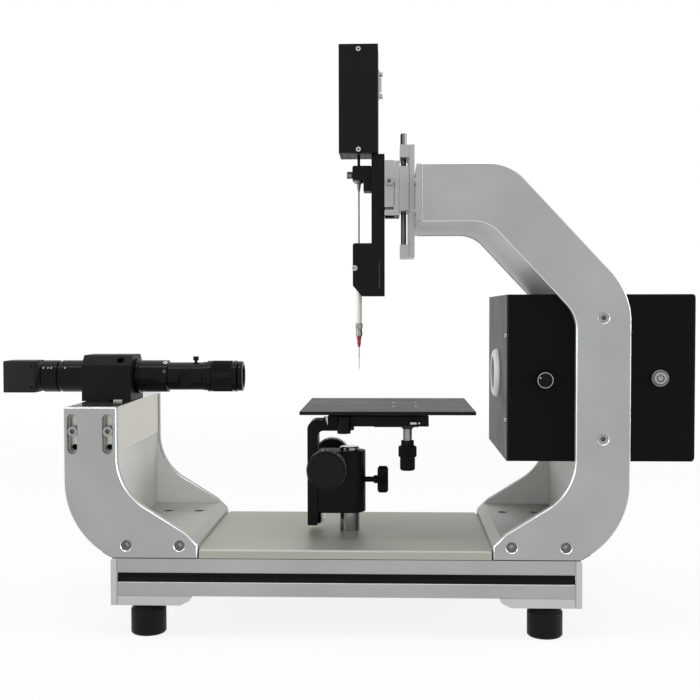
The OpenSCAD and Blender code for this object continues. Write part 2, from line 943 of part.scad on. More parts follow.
module diffuser_ring() {
    r0 = ring_hole / 2;
    mid = (ring_d + ring_hole) / 4;
    half = (ring_d - ring_hole) / 4;
    bulge = [for (a = [0:15:180]) [mid + half * cos(a), ring_bulge * sin(a)]];
    color("white")
        translate([light_x, 0, light_z])
            rotate([0, -90, 0])
                rotate_extrude($fn = round_fn)
                    polygon(concat([[0, -panel_t], [r0 + 1.8, -panel_t], [r0 + 1.8, 0]], bulge,
                        [[r0, -1], [0, -1]]));
}

module led_board() {
    x0 = light_x + panel_t + board_gap;
    color("white")
        union() {
            block(x0, x0 + 2, -board_w / 2, board_w / 2, light_z - board_w / 2, light_z + board_w / 2);
            rod_x(x0 - 3, 0, light_z, 4, 20);
        }
}

module dimmer_knob() {
    y0 = -inner_y - 7;
    x = light_x + dimmer_x;
    color(black)
        difference() {
            union() {
                rod_y(x, y0, dimmer_z, 6.5, dimmer_d);
                rod_y(x, y0 + 6, dimmer_z, 13, dimmer_shaft_d);
            }
            rod_y(x - dimmer_d * 0.3, y0 - eps, dimmer_z + dimmer_d * 0.15, 1.5, 1.2);
        }
}

module power_button() {
    color(steel)
        rod_y(light_x + light_l - button_x, -inner_y - bezel_t - 0.8, light_z, bezel_t + light_wall + 2.8,
            button_d);
}

module stage_post() {
    r = post_d / 2;
    color(steel)
        turned_z(post_x, 0, z_deck,
            [[0, 0], [r / 2, 0], [r / 2, deck_t], [r, deck_t], [r, deck_t + post_h - 1],
            [r - 1, deck_t + post_h],
                [0, deck_t + post_h]]);
}

// Camera unit
module camera_mount_block() {
    groove_x = base_x - stand_in - web_inset - web_t - slide_gap;
    color("#cdcabe")
        difference() {
            block(base_x - stand_out + 1, base_x - stand_in - 1, slide_gap - inner_y, inner_y - slide_gap,
                mount_z, bracket_top);
            block(groove_x, groove_x + web_t + 2 * slide_gap, -half_d, half_d, mount_z - eps,
                mount_z + 12 + mount_drop + 1);
            for (u = slot_us, z = [0, -14])
                rod_y(base_x - u, -half_d, slot_screw_z + z, base_d, slot_thread + screw_gap);
        }
}

module slot_screws() {
    head = slot_w - 2 * slide_gap;
    color(steel)
        for (u = slot_us, s = [-1, 1])
            translate([base_x - u, s * (half_d - slot_step + 0.1), slot_screw_z])
                rotate([-s * 90, 0, 0])
                    socket_screw(head, slot_step - 0.6, slot_thread, 22);
}

module lens_holder() {
    z1 = bracket_top + holder_h;
    y1 = holder_d / 2;
    cut = 9;
    color(black)
        difference() {
            along_x(holder_x, holder_l)
                polygon([[-y1, bracket_top], [y1, bracket_top], [y1, z1 - cut], [y1 - cut, z1],
                    [cut - y1, z1],
                    [-y1, z1 - cut]]);
            rod_x(holder_x - eps, 0, axis_z, holder_l + 2 * eps, tube_d + 2 * screw_gap);
            block(holder_x + 25, holder_x + 33, -y1 - eps, y1 + eps, bracket_top - eps, bracket_top + 1.2);
            translate([holder_x + holder_l - 10, cut / 2 - y1, z1 - cut / 2])
                rotate([45, 0, 0])
                    translate([0, 0, -5])
                        cylinder(h = 10, d = 6.5, $fn = round_fn);
        }
}

module camera_body() {
    h = camera_w / 2;
    cut = 1;
    color(black)
        difference() {
            union() {
                along_x(camera_x, camera_l)
                    polygon([[cut - h, axis_z - h], [h - cut, axis_z - h], [h, axis_z - h + cut],
                        [h, axis_z + h - cut],
                        [h - cut, axis_z + h], [cut - h, axis_z + h], [-h, axis_z + h - cut],
                        [-h, axis_z - h + cut]]);
                turned_x(camera_x + camera_l - eps, axis_z, [[0, 0], [h - 1, 0], [h - 1, eps],
                    [h - 4, eps + 4.5],
                    [0, eps + 4.5]]);
            }
            block(camera_x - eps, camera_x + 4, -6, 6, axis_z - 9, axis_z - 4.5);
            for (z = [-1, 1])
                rod_y(camera_x + camera_l - 3, -h - eps, axis_z + z * (h - 5), 3, 2);
        }
}

module lens_tube() {
    r = tube_d / 2;
    color(black)
        turned_x(tube_x, axis_z, [[0, 0], [r - 1, 0], [r, 1], [r, 14.7], [r - 1.8, 15.2], [r - 1.8, 17.7],
            [r, 18.2],
            [r, tube_l + holder_l / 2 - 1], [0, tube_l + holder_l / 2 - 1]]);
}

module lens_barrel() {
    r = tube_d / 2;
    rm = lens_mid_d / 2;
    rz = zoom_bore / 2;
    x1 = holder_l / 2 - 1;
    x2 = x1 + flange_l;
    x3 = x2 + lens_rear_l;
    x4 = x3 + lens_mid_l;
    x5 = x4 + zoom_l;
    x6 = x5 + nose_l;
    rim = zoom_d / 2 - 0.5;
    glass = rim - 4;
    color(black)
        difference() {
            turned_x(barrel_x - x1, axis_z, [[0, 0], [r, 0], [r, x1 + 0.3], [r + 1.3, x1 + 0.3],
                [r + 1.3, x2 - 0.5],
                    [r, x2], [r, x3 - 1], [rm, x3], [rm, x4], [rz, x4], [rz, x5], [rim - 0.7, x5],
                    [rim, x5 + 0.7],
                    [rim, x6 - 1], [rim - 1, x6], [glass + 1, x6], [glass, x6 - 2], [glass - 2, x6 - 2.6],
                    [0, x6 - 1.6]]);
            rod_y(lens_mid_x + lens_mid_l / 2 + 1, -rm - eps, axis_z - 3, 4 + eps, 12.8);
            rod_z(zoom_x - 6.8, 0, axis_z + rm - 5, 6, lock_d + run_fit);
        }
}

module zoom_ring() {
    r = zoom_d / 2;
    bore = zoom_bore / 2 + run_fit / 2;
    l = zoom_l - 2 * slide_gap;
    color(black)
        difference() {
            union() {
                turned_x(zoom_x + slide_gap, axis_z, [[0, 0], [r - 1.5, 0], [r - 1, 0.5], [r - 1, 4],
                    [r, 4.5],
                    [r, 8], [r - 0.8, 8.4], [r - 0.8, l - 4], [r, l - 3.6], [r, l - 0.6], [r - 0.6, l],
                    [0, l]]);
                translate([zoom_x + slide_gap + 9, 0, axis_z])
                    rotate([0, 90, 0])
                        linear_extrude(l - 14)
                            knurled(zoom_d, 60, 0.5);
            }
            rod_x(zoom_x, 0, axis_z, zoom_l, 2 * bore);
        }
}

module zoom_lock_screw() {
    z0 = lens_mid_d / 2 - 4.5;
    z1 = lens_mid_d / 2 + 1.5;
    color(black)
        turned_z(zoom_x - 6.8, 0, axis_z, [[0, z0], [lock_d / 2, z0], [lock_d / 2, z1], [2.2, z1],
            [2.6, z1 + 0.5],
            [2.6, z1 + 3.4], [2.2, z1 + 3.9], [0, z1 + 3.9]]);
}

// Focus unit
module focus_block() {
    r = post_d / 2 + block_wall;
    x0 = lift_x + slide_gap;
    cavity = pitch_r + tooth_tip + 0.6;
    flare = lift_d / 2 - 3.5 + slide_gap;
    neck = flare - dovetail_t;
    top = block_z + block_h;
    color(black)
        difference() {
            union() {
                rod_z(post_x, 0, block_z, block_h, 2 * r);
                block(x0, post_x, -r, r, block_z, top);
                rod_y(pinion_x, focus_t + knob_gap - focus_span / 2, pinion_z,
                    focus_span - 2 * (focus_t + knob_gap), boss_d);
            }
            rod_z(post_x, 0, block_z - eps, block_h + 2 * eps, post_d + run_fit);
            rod_y(pinion_x, -focus_span / 2, pinion_z, focus_span, shaft_d + run_fit);
            rod_y(pinion_x, -rack_w / 2 - 1, pinion_z, rack_w + 2, 2 * cavity);
            translate([0, 0, block_z - eps])
                linear_extrude(block_h + 2 * eps)
                    polygon([[lift_x - eps, -neck], [lift_x, -neck], [lift_x + dovetail_t + slide_gap,
                        -flare],
                        [lift_x + dovetail_t + slide_gap, flare], [lift_x, neck], [lift_x - eps, neck]]);
            block(lift_x, pinion_x - pitch_r + tooth_tip + slide_gap, -rack_w / 2 - slide_gap,
                rack_w / 2 + slide_gap,
                block_z - eps, top + eps);
            rod_x(post_x, 0, clamp_z, r + eps, clamp_thread + run_fit);
        }
}

module clamp_knob() {
    r = clamp_d / 2;
    x0 = post_x + post_d / 2 + slide_gap;
    x1 = block_wall + 7.2;
    x2 = x1 + 3.5;
    x3 = x2 + clamp_t;
    color(black)
        union() {
            turned_x(x0, clamp_z, [[0, 0], [clamp_thread / 2, 0], [clamp_thread / 2, x1], [3.7, x1],
                [3.7, x2],
                [r - 1.8, x2], [r - 0.8, x2 + 1], [r - 0.8, x3 - 1], [r - 1.8, x3], [0, x3]]);
            translate([x0 + x2 + 1.3, 0, clamp_z])
                rotate([0, 90, 0])
                    linear_extrude(clamp_t - 2.6)
                        knurled(clamp_d, 48, 0.6);
        }
}

// Pinion with straight-sided teeth that clear the rack's
module pinion_shape() {
    root = pitch_r - rack_root;
    tip = pitch_r + tooth_tip;
    wide = 360 / pinion_n * 0.27;
    thin = 360 / pinion_n * 0.1;
    polygon([for (i = [0:pinion_n - 1]) each [for (p = [[root, -wide], [tip, -thin], [tip, thin],
        [root, wide]])
        p[0] * [cos(i * 360 / pinion_n + p[1]), sin(i * 360 / pinion_n + p[1])]]]);
}

module focus_shaft() {
    l = focus_span - 8;
    color(steel)
        union() {
            rod_y(pinion_x, -l / 2, pinion_z, l, shaft_d);
            upright(-rack_w / 2, rack_w)
                translate([pinion_x, pinion_z])
                    pinion_shape();
        }
}

module focus_knobs() {
    color(black)
        for (s = [-1, 1])
            translate([pinion_x, s * (focus_span / 2 - focus_t), pinion_z])
                rotate([-s * 90, 0, 0])
                    difference() {
                        union() {
                            linear_extrude(focus_t - 2)
                                knurled(focus_d, 84, 0.8);
                            cylinder(h = focus_t, d = focus_d - 4, $fn = round_fn);
                        }
                        translate([0, 0, -eps])
                            cylinder(h = focus_t - 4 + eps, d = shaft_d + run_fit, $fn = round_fn);
                    }
}

module lift_bracket() {
    y1 = lift_d / 2;
    x0 = lift_x - lift_t;
    arm_end = saddle_x + arm_reach;
    flare = y1 - 3.5;
    neck = flare - dovetail_t;
    color(black)
        union() {
            upright(-y1, lift_d)
                polygon(rounded([[x0, lift_z, 1], [lift_x, lift_z, 1], [lift_x, lift_top - arm_t, 5.5],
                    [arm_end, lift_top - arm_t, 1], [arm_end, lift_top - tongue_t, 0],
                    [tongue_x, lift_top - tongue_t, 0],
                    [tongue_x, lift_top, 0], [x0, lift_top, 8]]));
            translate([0, 0, lift_z + 1])
                linear_extrude(rack_l)
                    polygon([[lift_x - eps, -neck], [lift_x, -neck], [lift_x + dovetail_t, -flare],
                        [lift_x + dovetail_t, flare], [lift_x, neck], [lift_x - eps, neck]]);
            upright(-y1, lift_d)
                polygon([[way_x - way_w / 2, lift_top - eps], [way_x + way_w / 2, lift_top - eps],
                    [way_x + way_w / 2, lift_top], [way_x + way_w / 2 + way_flare, lift_top + way_h],
                    [way_x - way_w / 2 - way_flare, lift_top + way_h], [way_x - way_w / 2, lift_top]]);
        }
}

module lift_rack() {
    pitch = PI * tooth_m;
    n = floor(rack_l / pitch / 2);
    x0 = lift_x + dovetail_t;
    root = rack_x - rack_root;
    tip = rack_x + tooth_tip;
    z0 = lift_z + 1;
    color(steel)
        upright(-rack_w / 2, rack_w)
            polygon(concat(
                [[x0, z0 + rack_l], [x0, z0], [root, z0]],
                [for (i = [-2 * n:2 * n]) let (z = pinion_z + (i + 0.5) * pitch)
                    if (z > z0 + pitch && z < z0 + rack_l - pitch)
                        each [[root, z - pitch * 0.3], [tip, z - pitch * 0.12], [tip, z + pitch * 0.12],
                            [root, z + pitch * 0.3]]],
                [[root, z0 + rack_l]]));
}

// Stage
module stage_saddle() {
    x1 = saddle_x + saddle_w;
    y1 = saddle_d / 2;
    top = saddle_z + saddle_t;
    groove = way_w / 2 + slide_gap;
    low = saddle_z - skirt_h;
    pillar_x = tongue_x + 2;
    color(black)
        difference() {
            union() {
                block(saddle_x, x1, -y1, y1, saddle_z, top);
                block(saddle_x, x1, -y1, skirt_t - y1, low, saddle_z + eps);
                block(saddle_x, x1, y1 - skirt_t, y1, low, saddle_z + eps);
                along_x(saddle_x, saddle_w)
                    polygon([[-x_way_w / 2, top - eps], [x_way_w / 2, top - eps], [x_way_w / 2, top],
                        [x_way_w / 2 + way_flare, top + way_h], [-x_way_w / 2 - way_flare, top + way_h],
                        [-x_way_w / 2, top]]);
                block(pillar_x, drive_x + 9.5, drive_y - 10, drive_y + 10, drive_z, saddle_z + eps);
                block(drive_x - 30, drive_x + 9.5, drive_y - 10, drive_y + 10, drive_z, drive_z + 1.3);
                turned_z(drive_x, drive_y, drive_z - 2.2, [[0, 0], [4.9, 0], [6, 2.2], [6, 3], [0, 3]]);
                rod_z(saddle_x + 14.3, -y1, lift_top - 8.8, saddle_z - lift_top + 8.8 + saddle_t, 12);
            }
            upright(skirt_t - y1, saddle_d)
                polygon([[way_x - groove, saddle_z - eps], [way_x + groove, saddle_z - eps],
                    [way_x + groove, lift_top],
                    [way_x + groove + way_flare, lift_top + way_h + slide_gap],
                    [way_x - groove - way_flare, lift_top + way_h + slide_gap],
                    [way_x - groove, lift_top]]);
            rod_z(drive_x, drive_y, drive_z - 2.2 - eps, 5 + eps, drive_tube + run_fit);
            rod_z(drive_x, drive_y, drive_z - 2.2, saddle_z - drive_z + 2.2 + saddle_t - 1,
                drive_rod + run_fit);
        }
}

module y_drive_ring() {
    r = ring_knob_d / 2;
    up = drive_z + 2 - ring_z;
    color(black)
        difference() {
            union() {
                turned_z(drive_x, drive_y, ring_z, [[0, 0], [r - 0.6, 0], [r - 0.6, 9.8], [5.8, 9.8],
                    [5.8, ring_top - ring_z],
                    [drive_tube / 2, ring_top - ring_z], [drive_tube / 2, up], [0, up]]);
                translate([drive_x, drive_y, ring_z + 0.6])
                    linear_extrude(8.6)
                        knurled(ring_knob_d, 40, 0.5);
            }
            rod_z(drive_x, drive_y, ring_z - eps, up + 2 * eps, drive_rod + run_fit);
        }
}

module x_drive_knob() {
    r = drive_knob_d / 2;
    l = 12.1;
    up = saddle_z + saddle_t - 1.5 - ring_z;
    color(black)
        union() {
            turned_z(drive_x, drive_y, ring_z, [[0, -l], [r - 1.2, -l], [r - 0.5, 0.7 - l],
                [r - 0.5, -slide_gap],
                [drive_rod / 2, -slide_gap], [drive_rod / 2, up], [0, up]]);
            translate([drive_x, drive_y, ring_z - l + 1])
                linear_extrude(l - 1.8)
                    knurled(drive_knob_d, 36, 0.4);
        }
}

module x_slide() {
    groove = x_way_w / 2 + slide_gap;
    top = saddle_z + saddle_t;
    color(black)
        along_x(saddle_x + saddle_w / 2 - x_slide_l / 2, x_slide_l)
            polygon([[-saddle_d / 2 + 2, slide_z], [-groove, slide_z],
                [-groove - way_flare, top + way_h + slide_gap],
                [groove + way_flare, top + way_h + slide_gap], [groove, slide_z],
                [saddle_d / 2 - 2, slide_z],
                [saddle_d / 2 - 2, stage_z], [2 - saddle_d / 2, stage_z]]);
}

module stage_plate() {
    h = stage_w / 2;
    color(black)
        difference() {
            block(stage_x - h, stage_x + h, -h, h, stage_z, stage_z + stage_t);
            for (p = [[4, 20], [24, 20], [24, -20], [4, -20]])
                turned_z(stage_x + p[0], p[1], stage_z - eps, [[0, 0], [1.7, 0], [1.7, stage_t + eps - 1.6],
                    [3.4, stage_t + eps + 0.1], [3.4, stage_t + 2 * eps], [0, stage_t + 2 * eps]]);
        }
}

// Dispenser
module height_rail() {
    y1 = rail_d / 2;
    z0 = rail_z - rail_l / 2;
    z1 = rail_z + rail_l / 2;
    end_x = nut_x + slide_gap;
    color(silver)
        difference() {
            union() {
                block(rail_x, rail_x + rail_t, -y1, y1, z0, z1);
                block(end_x, rail_x + eps, -y1, y1, z0, z0 + rail_end);
                block(end_x, rail_x + eps, -y1, y1, z1 - rail_end, z1);
                for (s = [-1, 1])
                    block(rail_x - 1.2, rail_x + eps, s * 13 - 2, s * 13 + 2, z0 + 1, z1 - 1);
            }
            rod_z(screw_x, 0, z0 - eps, rail_l + 2 * eps, screw_d + run_fit);
            for (y = [-y1, y1])
                block(rail_x - seam, rail_x, y - seam, y + seam, z0 - eps, z1 + eps);
        }
}

module height_screw() {
    r = screw_d / 2;
    z0 = rail_z - rail_l / 2 + 2;
    z1 = rail_z + rail_l / 2 + slide_gap;
    color(steel)
        turned_z(screw_x, 0, 0, [[0, z0], [r, z0], [r, z1], [r + 0.4, z1], [r + 0.4, z1 + 11.6],
            [r - 0.2, z1 + 12.4],
            [0, z1 + 12.4]]);
}

module height_carriage() {
    y1 = rail_d / 2;
    z0 = nut_z - nut_h / 2;
    z1 = nut_z + nut_h / 2;
    slide_z0 = slide_mid_z - slide_h / 2;
    lip_z0 = slide_z0 - 7.2;
    lip_z1 = slide_z0 - 2.7;
    plate_z1 = slide_mid_z + slide_h / 2 - 0.5;
    rib_y = slide_travel + slide_wall - y1 + slide_gap;
    color(silver)
        difference() {
            union() {
                block(nut_x - eps, nut_x + nut_t, -y1, y1, z0, z1);
                block(carriage_x, nut_x, -y1, y1, lip_z0, plate_z1);
                block(slide_x, carriage_x + eps, -y1, y1, lip_z0, lip_z1);
                upright(rib_y, y1 - rib_y)
                    polygon([[carriage_x + eps, dovetail_z - 5], [carriage_x, dovetail_z - 5],
                        [carriage_x - way_h, dovetail_z - 5 - way_flare],
                        [carriage_x - way_h, dovetail_z + 5 + way_flare],
                        [carriage_x, dovetail_z + 5], [carriage_x + eps, dovetail_z + 5]]);
                block(slide_x + 1, carriage_x + eps, 14, 18, y_screw_z - 3.5, y_screw_z + 3.5);
            }
            for (s = [-1, 1])
                block(rail_x - 1.2 - slide_gap, rail_x + eps, s * 13 - 2 - slide_gap,
                    s * 13 + 2 + slide_gap,
                    z0 - eps, z1 + eps);
            rod_z(screw_x, 0, z0 - 2 * eps, nut_h + 4 * eps, screw_d + run_fit);
            rod_y(slide_x + 4.1, 14 - eps, y_screw_z, 4 + 2 * eps, y_screw_d + run_fit);
            block(slide_x + 0.8, carriage_x, -12, 7, lip_z0 - eps, lip_z0 + 2.5);
            for (y = [-y1, y1])
                block(nut_x - seam, nut_x, y - seam, y + seam, z0 - eps, z1 + eps);
        }
}

module y_slide_plate() {
    y1 = rail_d / 2;
    z0 = slide_mid_z - slide_h / 2;
    gap = slide_gap;
    color(silver)
        difference() {
            block(slide_x, slide_x + slide_t, -y1, y1, z0, z0 + slide_h);
            upright(slide_wall - y1, rail_d)
                polygon([[carriage_x, dovetail_z - 5 - gap],
                    [carriage_x - way_h - gap, dovetail_z - 5 - way_flare - gap],
                    [carriage_x - way_h - gap, dovetail_z + 5 + way_flare + gap],
                    [carriage_x, dovetail_z + 5 + gap]]);
            block(slide_x + 1 - gap, carriage_x, 7, half_d, y_screw_z - 3.5 - gap, y_screw_z + 3.5 + gap);
            rod_y(slide_x + 4.1, -half_d, y_screw_z, base_d, y_screw_d + run_fit);
        }
}

module y_slide_screw() {
    y1 = rail_d / 2;
    color(steel)
        translate([slide_x + 4.1, -y1 - slide_gap, y_screw_z])
            rotate([90, 0, 0])
                socket_screw(7.2, 4, y_screw_d, 2 * y1 + 4);
}

module dispenser_spine() {
    y1 = spine_d / 2;
    gap = 0.2;
    x1 = spine_x + spine_t;
    wall = pump_wall + gap;
    top = seat_z + seat_h;
    color(black)
        difference() {
            union() {
                upright(-y1, spine_d)
                    polygon(rounded([[seat_x, top, 2], [seat_x, seat_z + 9.4, 0],
                        [seat_x + 8.1, seat_z, 0], [x1, seat_z, 0],
                        [x1, spine_z, 0], [spine_x, spine_z, 0], [spine_x, top, 0]]));
                block(pump_x + wall, pump_x + pump_w - wall, wall - pump_d / 2, pump_d / 2 - wall,
                    spine_z - eps / 2,
                    spine_z + flange_t);
            }
            block(pump_x, spine_x, -pump_d, pump_d, spine_z - eps, spine_z);
            block(x1, x1 + pump_w, -pump_d, pump_d, spine_z - eps, spine_z);
            for (s = [-1, 1])
                block(spine_x - eps, x1 + eps, min(s * y1, s * pump_d), max(s * y1, s * pump_d),
                    spine_z - eps, spine_z);
            block(spine_x - eps, spine_x + groove_t, -groove_w / 2, groove_w / 2, top + 4, spine_z - 1);
            rod_z(needle_x, 0, spine_z - eps, flange_t + 2 * eps, rod_d + 1.4);
            for (dx = [-9, 6], y = [-9, 9])
                rod_z(needle_x + dx, y, spine_z - eps, flange_t + 2 * eps, 3);
            rod_z(needle_x, 0, seat_z - eps, seat_h + 2 * eps, barrel_d + screw_gap);
            rod_y(seat_x + 1.8, -y1 - eps, top - clamp_drop, 11 + eps, 2.5 + run_fit);
        }
}

module pump_housing() {
    x1 = pump_x + pump_w;
    y1 = pump_d / 2;
    w = pump_wall;
    color(black)
        difference() {
            block(pump_x, x1, -y1, y1, spine_z, spine_z + pump_h);
            block(pump_x + w, x1 - w, w - y1, y1 - w, spine_z - eps, spine_z + pump_h - w);
            block(x1 - w - eps, x1 + eps, -3.2, 3.2, spine_z + pump_h / 2 + 10, spine_z + pump_h / 2 + 21);
        }
}

module pump_motor() {
    h = 14;
    z0 = spine_z + flange_t;
    color("#3a3b3d")
        difference() {
            union() {
                block(needle_x - h, needle_x + h, -h, h, z0, z0 + 9);
                rod_z(needle_x, 0, z0 + 8, 28, 2 * h - 1);
                block(needle_x - h, needle_x + h, -h, h, z0 + 35, z0 + 45);
            }
            rod_z(needle_x, 0, z0 - eps, 45 + 2 * eps, rod_d + 2 * slide_gap);
        }
}

module data_socket() {
    x1 = pump_x + pump_w;
    mid = spine_z + pump_h / 2 + 15.5;
    color(steel)
        union() {
            block(x1, x1 + 1, -5, 5, mid - 13, mid + 13);
            difference() {
                block(x1, x1 + 3, -4, 4, mid - 6.3, mid + 6.3);
                block(x1 + 1, x1 + 3 + eps, -3.4, 3.4, mid - 5.7, mid + 5.7);
            }
            for (s = [-1, 1])
                translate([x1, 0, mid + s * 10])
                    rotate([0, 90, 0])
                        cylinder(h = 4, d = 4.6, $fn = 6);
        }
}

module syringe_barrel() {
    color("#dfe9ea")
        difference() {
            rod_z(needle_x, 0, barrel_z, barrel_l, barrel_d);
            rod_z(needle_x, 0, barrel_z + 2, barrel_l, barrel_d - 1.1);
        }
}

module luer_hub() {
    z0 = barrel_z - luer_h;
    color(steel)
        union() {
            turned_z(needle_x, 0, z0, [[0, 0], [2.9, 0], [3.1, 0.4], [3.1, 5], [2.7, 5.4], [2.7, 6.2],
                [3.1, 6.6],
                [3.1, luer_h - 0.5], [2.7, luer_h], [0, luer_h]]);
            translate([needle_x, 0, z0 + 7])
                linear_extrude(luer_h - 8)
                    knurled(6.7, 24, 0.35);
        }
}

module needle() {
    z0 = barrel_z - luer_h - hub_h;
    color("#b01c2c")
        turned_z(needle_x, 0, z0, [[0, hub_h], [2.2, hub_h], [2.2, hub_h - 2], [1.8, hub_h - 3], [1.7, 3],
            [0.9, 0],
            [0.6, 0], [0.6, -needle_l / 2], [0.4, -needle_l / 2 - 0.4], [0.4, -needle_l], [0, -needle_l]]);
}

module syringe_clamp_screw() {
    color(steel)
        translate([seat_x + 1.8, -spine_d / 2 - slide_gap, seat_z + seat_h - clamp_drop])
            rotate([90, 0, 0])
                socket_screw(5, 3, 2.5, 9);
}

module plunger_carriage() {
    y1 = 10;
    x1 = spine_x - slide_gap;
    x0 = needle_x - thumb_off;
    z1 = carriage_top;
    color(black)
        difference() {
            union() {
                upright(-y1, 2 * y1)
                    polygon([[x0, z1 - carriage_h], [x0, z1 - 1.5], [x0 + 1, z1], [x1, z1],
                        [x1, z1 - leg_h],
                        [x1 - 7, z1 - leg_h], [x1 - 7, z1 - carriage_h]]);
                block(x1 - eps, spine_x + groove_t - slide_gap, slide_gap - groove_w / 2,
                    groove_w / 2 - slide_gap,
                    z1 - leg_h, z1);
                rod_z(needle_x, 0, z1 - 2, rod_up, rod_d);
            }
            rod_x(x0 - eps, 0, z1 - thumb_drop, 6 + eps, 2.5 + run_fit);
        }
}

module syringe_plunger() {
    z1 = carriage_top - carriage_h;
    low = barrel_z + piston_up;
    r = plunger_d / 2;
    color(steel)
        turned_z(needle_x, 0, 0, [[0, z1], [4.1, z1], [4.1, z1 - 2], [3.7, z1 - 2.4], [2.1, z1 - 2.4],
            [1.1, z1 - 9.4],
            [r, z1 - 9.6], [r, low + 6], [1.75, low + 6], [1.75, low], [0, low]]);
}

module plunger_screw() {
    x0 = needle_x - thumb_off - slide_gap;
    color(steel)
        turned_x(x0 - 5, carriage_top - thumb_drop, [[0, 0], [2.8, 0], [3.2, 0.4], [3.2, 4.6], [2.8, 5],
            [1.25, 5], [1.25, 10],
            [0, 10]]);
}

base_profile();
slot_strips();
base_end_plates();
base_top_plate();
foot_bars();
bracket_plates();
column_plates();
foot_blocks();
inner_webs();
arm_web();
outer_skins();
arm_end_plate();
frame_screws();
light_housing();
light_left_panel();
light_right_panel();
diffuser_ring();
led_board();
stage_post();
height_rail();
foot_front_left();
foot_front_right();
foot_rear_left();
foot_rear_right();
camera_mount_block();
slot_screws();
lens_holder();
camera_body();
lens_tube();
lens_barrel();
zoom_ring();
zoom_lock_screw();
focus_block();
clamp_knob();
focus_shaft();
focus_knobs();
lift_bracket();
lift_rack();
stage_saddle();
y_drive_ring();
x_drive_knob();
x_slide();
stage_plate();
height_screw();
height_carriage();
y_slide_plate();
y_slide_screw();
dispenser_spine();
pump_housing();
pump_motor();
data_socket();
syringe_barrel();
luer_hub();
needle();
syringe_clamp_screw();
plunger_carriage();
syringe_plunger();
plunger_screw();
dimmer_knob();
power_button();
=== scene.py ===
import json
import math

import bmesh
import bpy
from mathutils import Matrix, Vector


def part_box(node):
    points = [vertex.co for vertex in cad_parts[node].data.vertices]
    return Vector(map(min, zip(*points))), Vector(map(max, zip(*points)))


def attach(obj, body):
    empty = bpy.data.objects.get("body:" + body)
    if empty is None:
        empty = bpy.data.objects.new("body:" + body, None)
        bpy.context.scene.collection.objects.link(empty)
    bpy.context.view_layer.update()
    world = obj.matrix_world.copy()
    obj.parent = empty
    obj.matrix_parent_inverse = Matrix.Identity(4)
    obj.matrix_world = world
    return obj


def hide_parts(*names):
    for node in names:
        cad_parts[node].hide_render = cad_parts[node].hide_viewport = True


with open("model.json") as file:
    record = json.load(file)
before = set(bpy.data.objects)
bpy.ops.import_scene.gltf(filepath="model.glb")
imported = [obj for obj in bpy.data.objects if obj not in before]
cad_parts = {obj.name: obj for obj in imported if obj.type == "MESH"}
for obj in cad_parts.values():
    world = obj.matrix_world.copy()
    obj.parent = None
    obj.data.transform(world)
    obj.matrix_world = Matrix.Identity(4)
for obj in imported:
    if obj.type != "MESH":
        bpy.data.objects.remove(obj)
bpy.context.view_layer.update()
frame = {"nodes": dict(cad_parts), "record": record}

MM = 0.001

# Axes and directions
X, Y, Z = range(3)
FRONT = (0, -1, 0)
RIGHT = (1, 0, 0)
UP = (0, 0, 1)
DOWN = (0, 0, -1)

# Welding and easing of the CAD solids
WELD = 0.002 * MM
FLAT_ANGLE = math.radians(0.6)
EDGE_ANGLE = math.radians(32)
CREASE_ANGLE = math.radians(20)

# Share of a normal along an axis: of faces square to it, of slanted rims, and of chamfers that look down
SQUARE = 0.9
SLANTED = 0.3
DOWNWARD = 0.6

# Screws: share of the head that the socket takes, width round a hole that isn't eased, and top of the toes
SOCKET_SHARE = 0.56
HOLE_MARGIN = 1.8 * MM
TOE_TOP = 90 * MM

# Camera: its place in metres, its turn, its dip below the horizon and its slight tilt
EYE = Vector((0.04993, -1.00397, 0.27468))
EYE_TURN = math.radians(2.102)
EYE_DIP = math.radians(1.960)
EYE_TILT = math.radians(-0.105)
LENS = 56.42
SENSOR = 36

# Studio
FLOOR_SIZE = 12
FLOOR_DROP = 0.1 * MM
FLOOR_COLOUR = (0.92, 0.92, 0.92, 1)
FLOOR_GLOW = 0.86
FLOOR_NEAR = 0.7
FLOOR_FAR = 2.2
AMBIENT_COLOUR = (0.95, 0.97, 1.0, 1)
AMBIENT = 0.55

# Lamps: name, place, what they point at, width and height, and power
LAMPS = (
    ("overhead_soft", (0.1, 0.1, 1.9), (0, 0, 0.2), (2.2, 1.6), 6.5),
    ("overhead_strip", (0.0, -0.45, 1.7), (0, 0, 0.2), (1.6, 0.05), 5),
    ("left_soft", (-1.6, -0.5, 0.7), (0, 0, 0.25), (1.0, 1.0), 10),
    ("right_soft", (1.7, -0.35, 0.55), (0, 0, 0.2), (1.0, 1.0), 14),
)

SLOT_OF = {row["node"]: row["material_slot"] for row in frame["record"]["subparts"]}
BODY_OF = {
    node: body
    for body, nodes in frame["record"]["behaviour"]["bodies"].items()
    for node in nodes
}


class Value:
    """A shader socket that takes part in arithmetic."""

    def __init__(self, sheet, socket):
        self.sheet = sheet
        self.socket = socket

    def __add__(self, other):
        return self.sheet.maths("ADD", self, other)

    def __radd__(self, other):
        return self.sheet.maths("ADD", other, self)

    def __mul__(self, other):
        return self.sheet.maths("MULTIPLY", self, other)


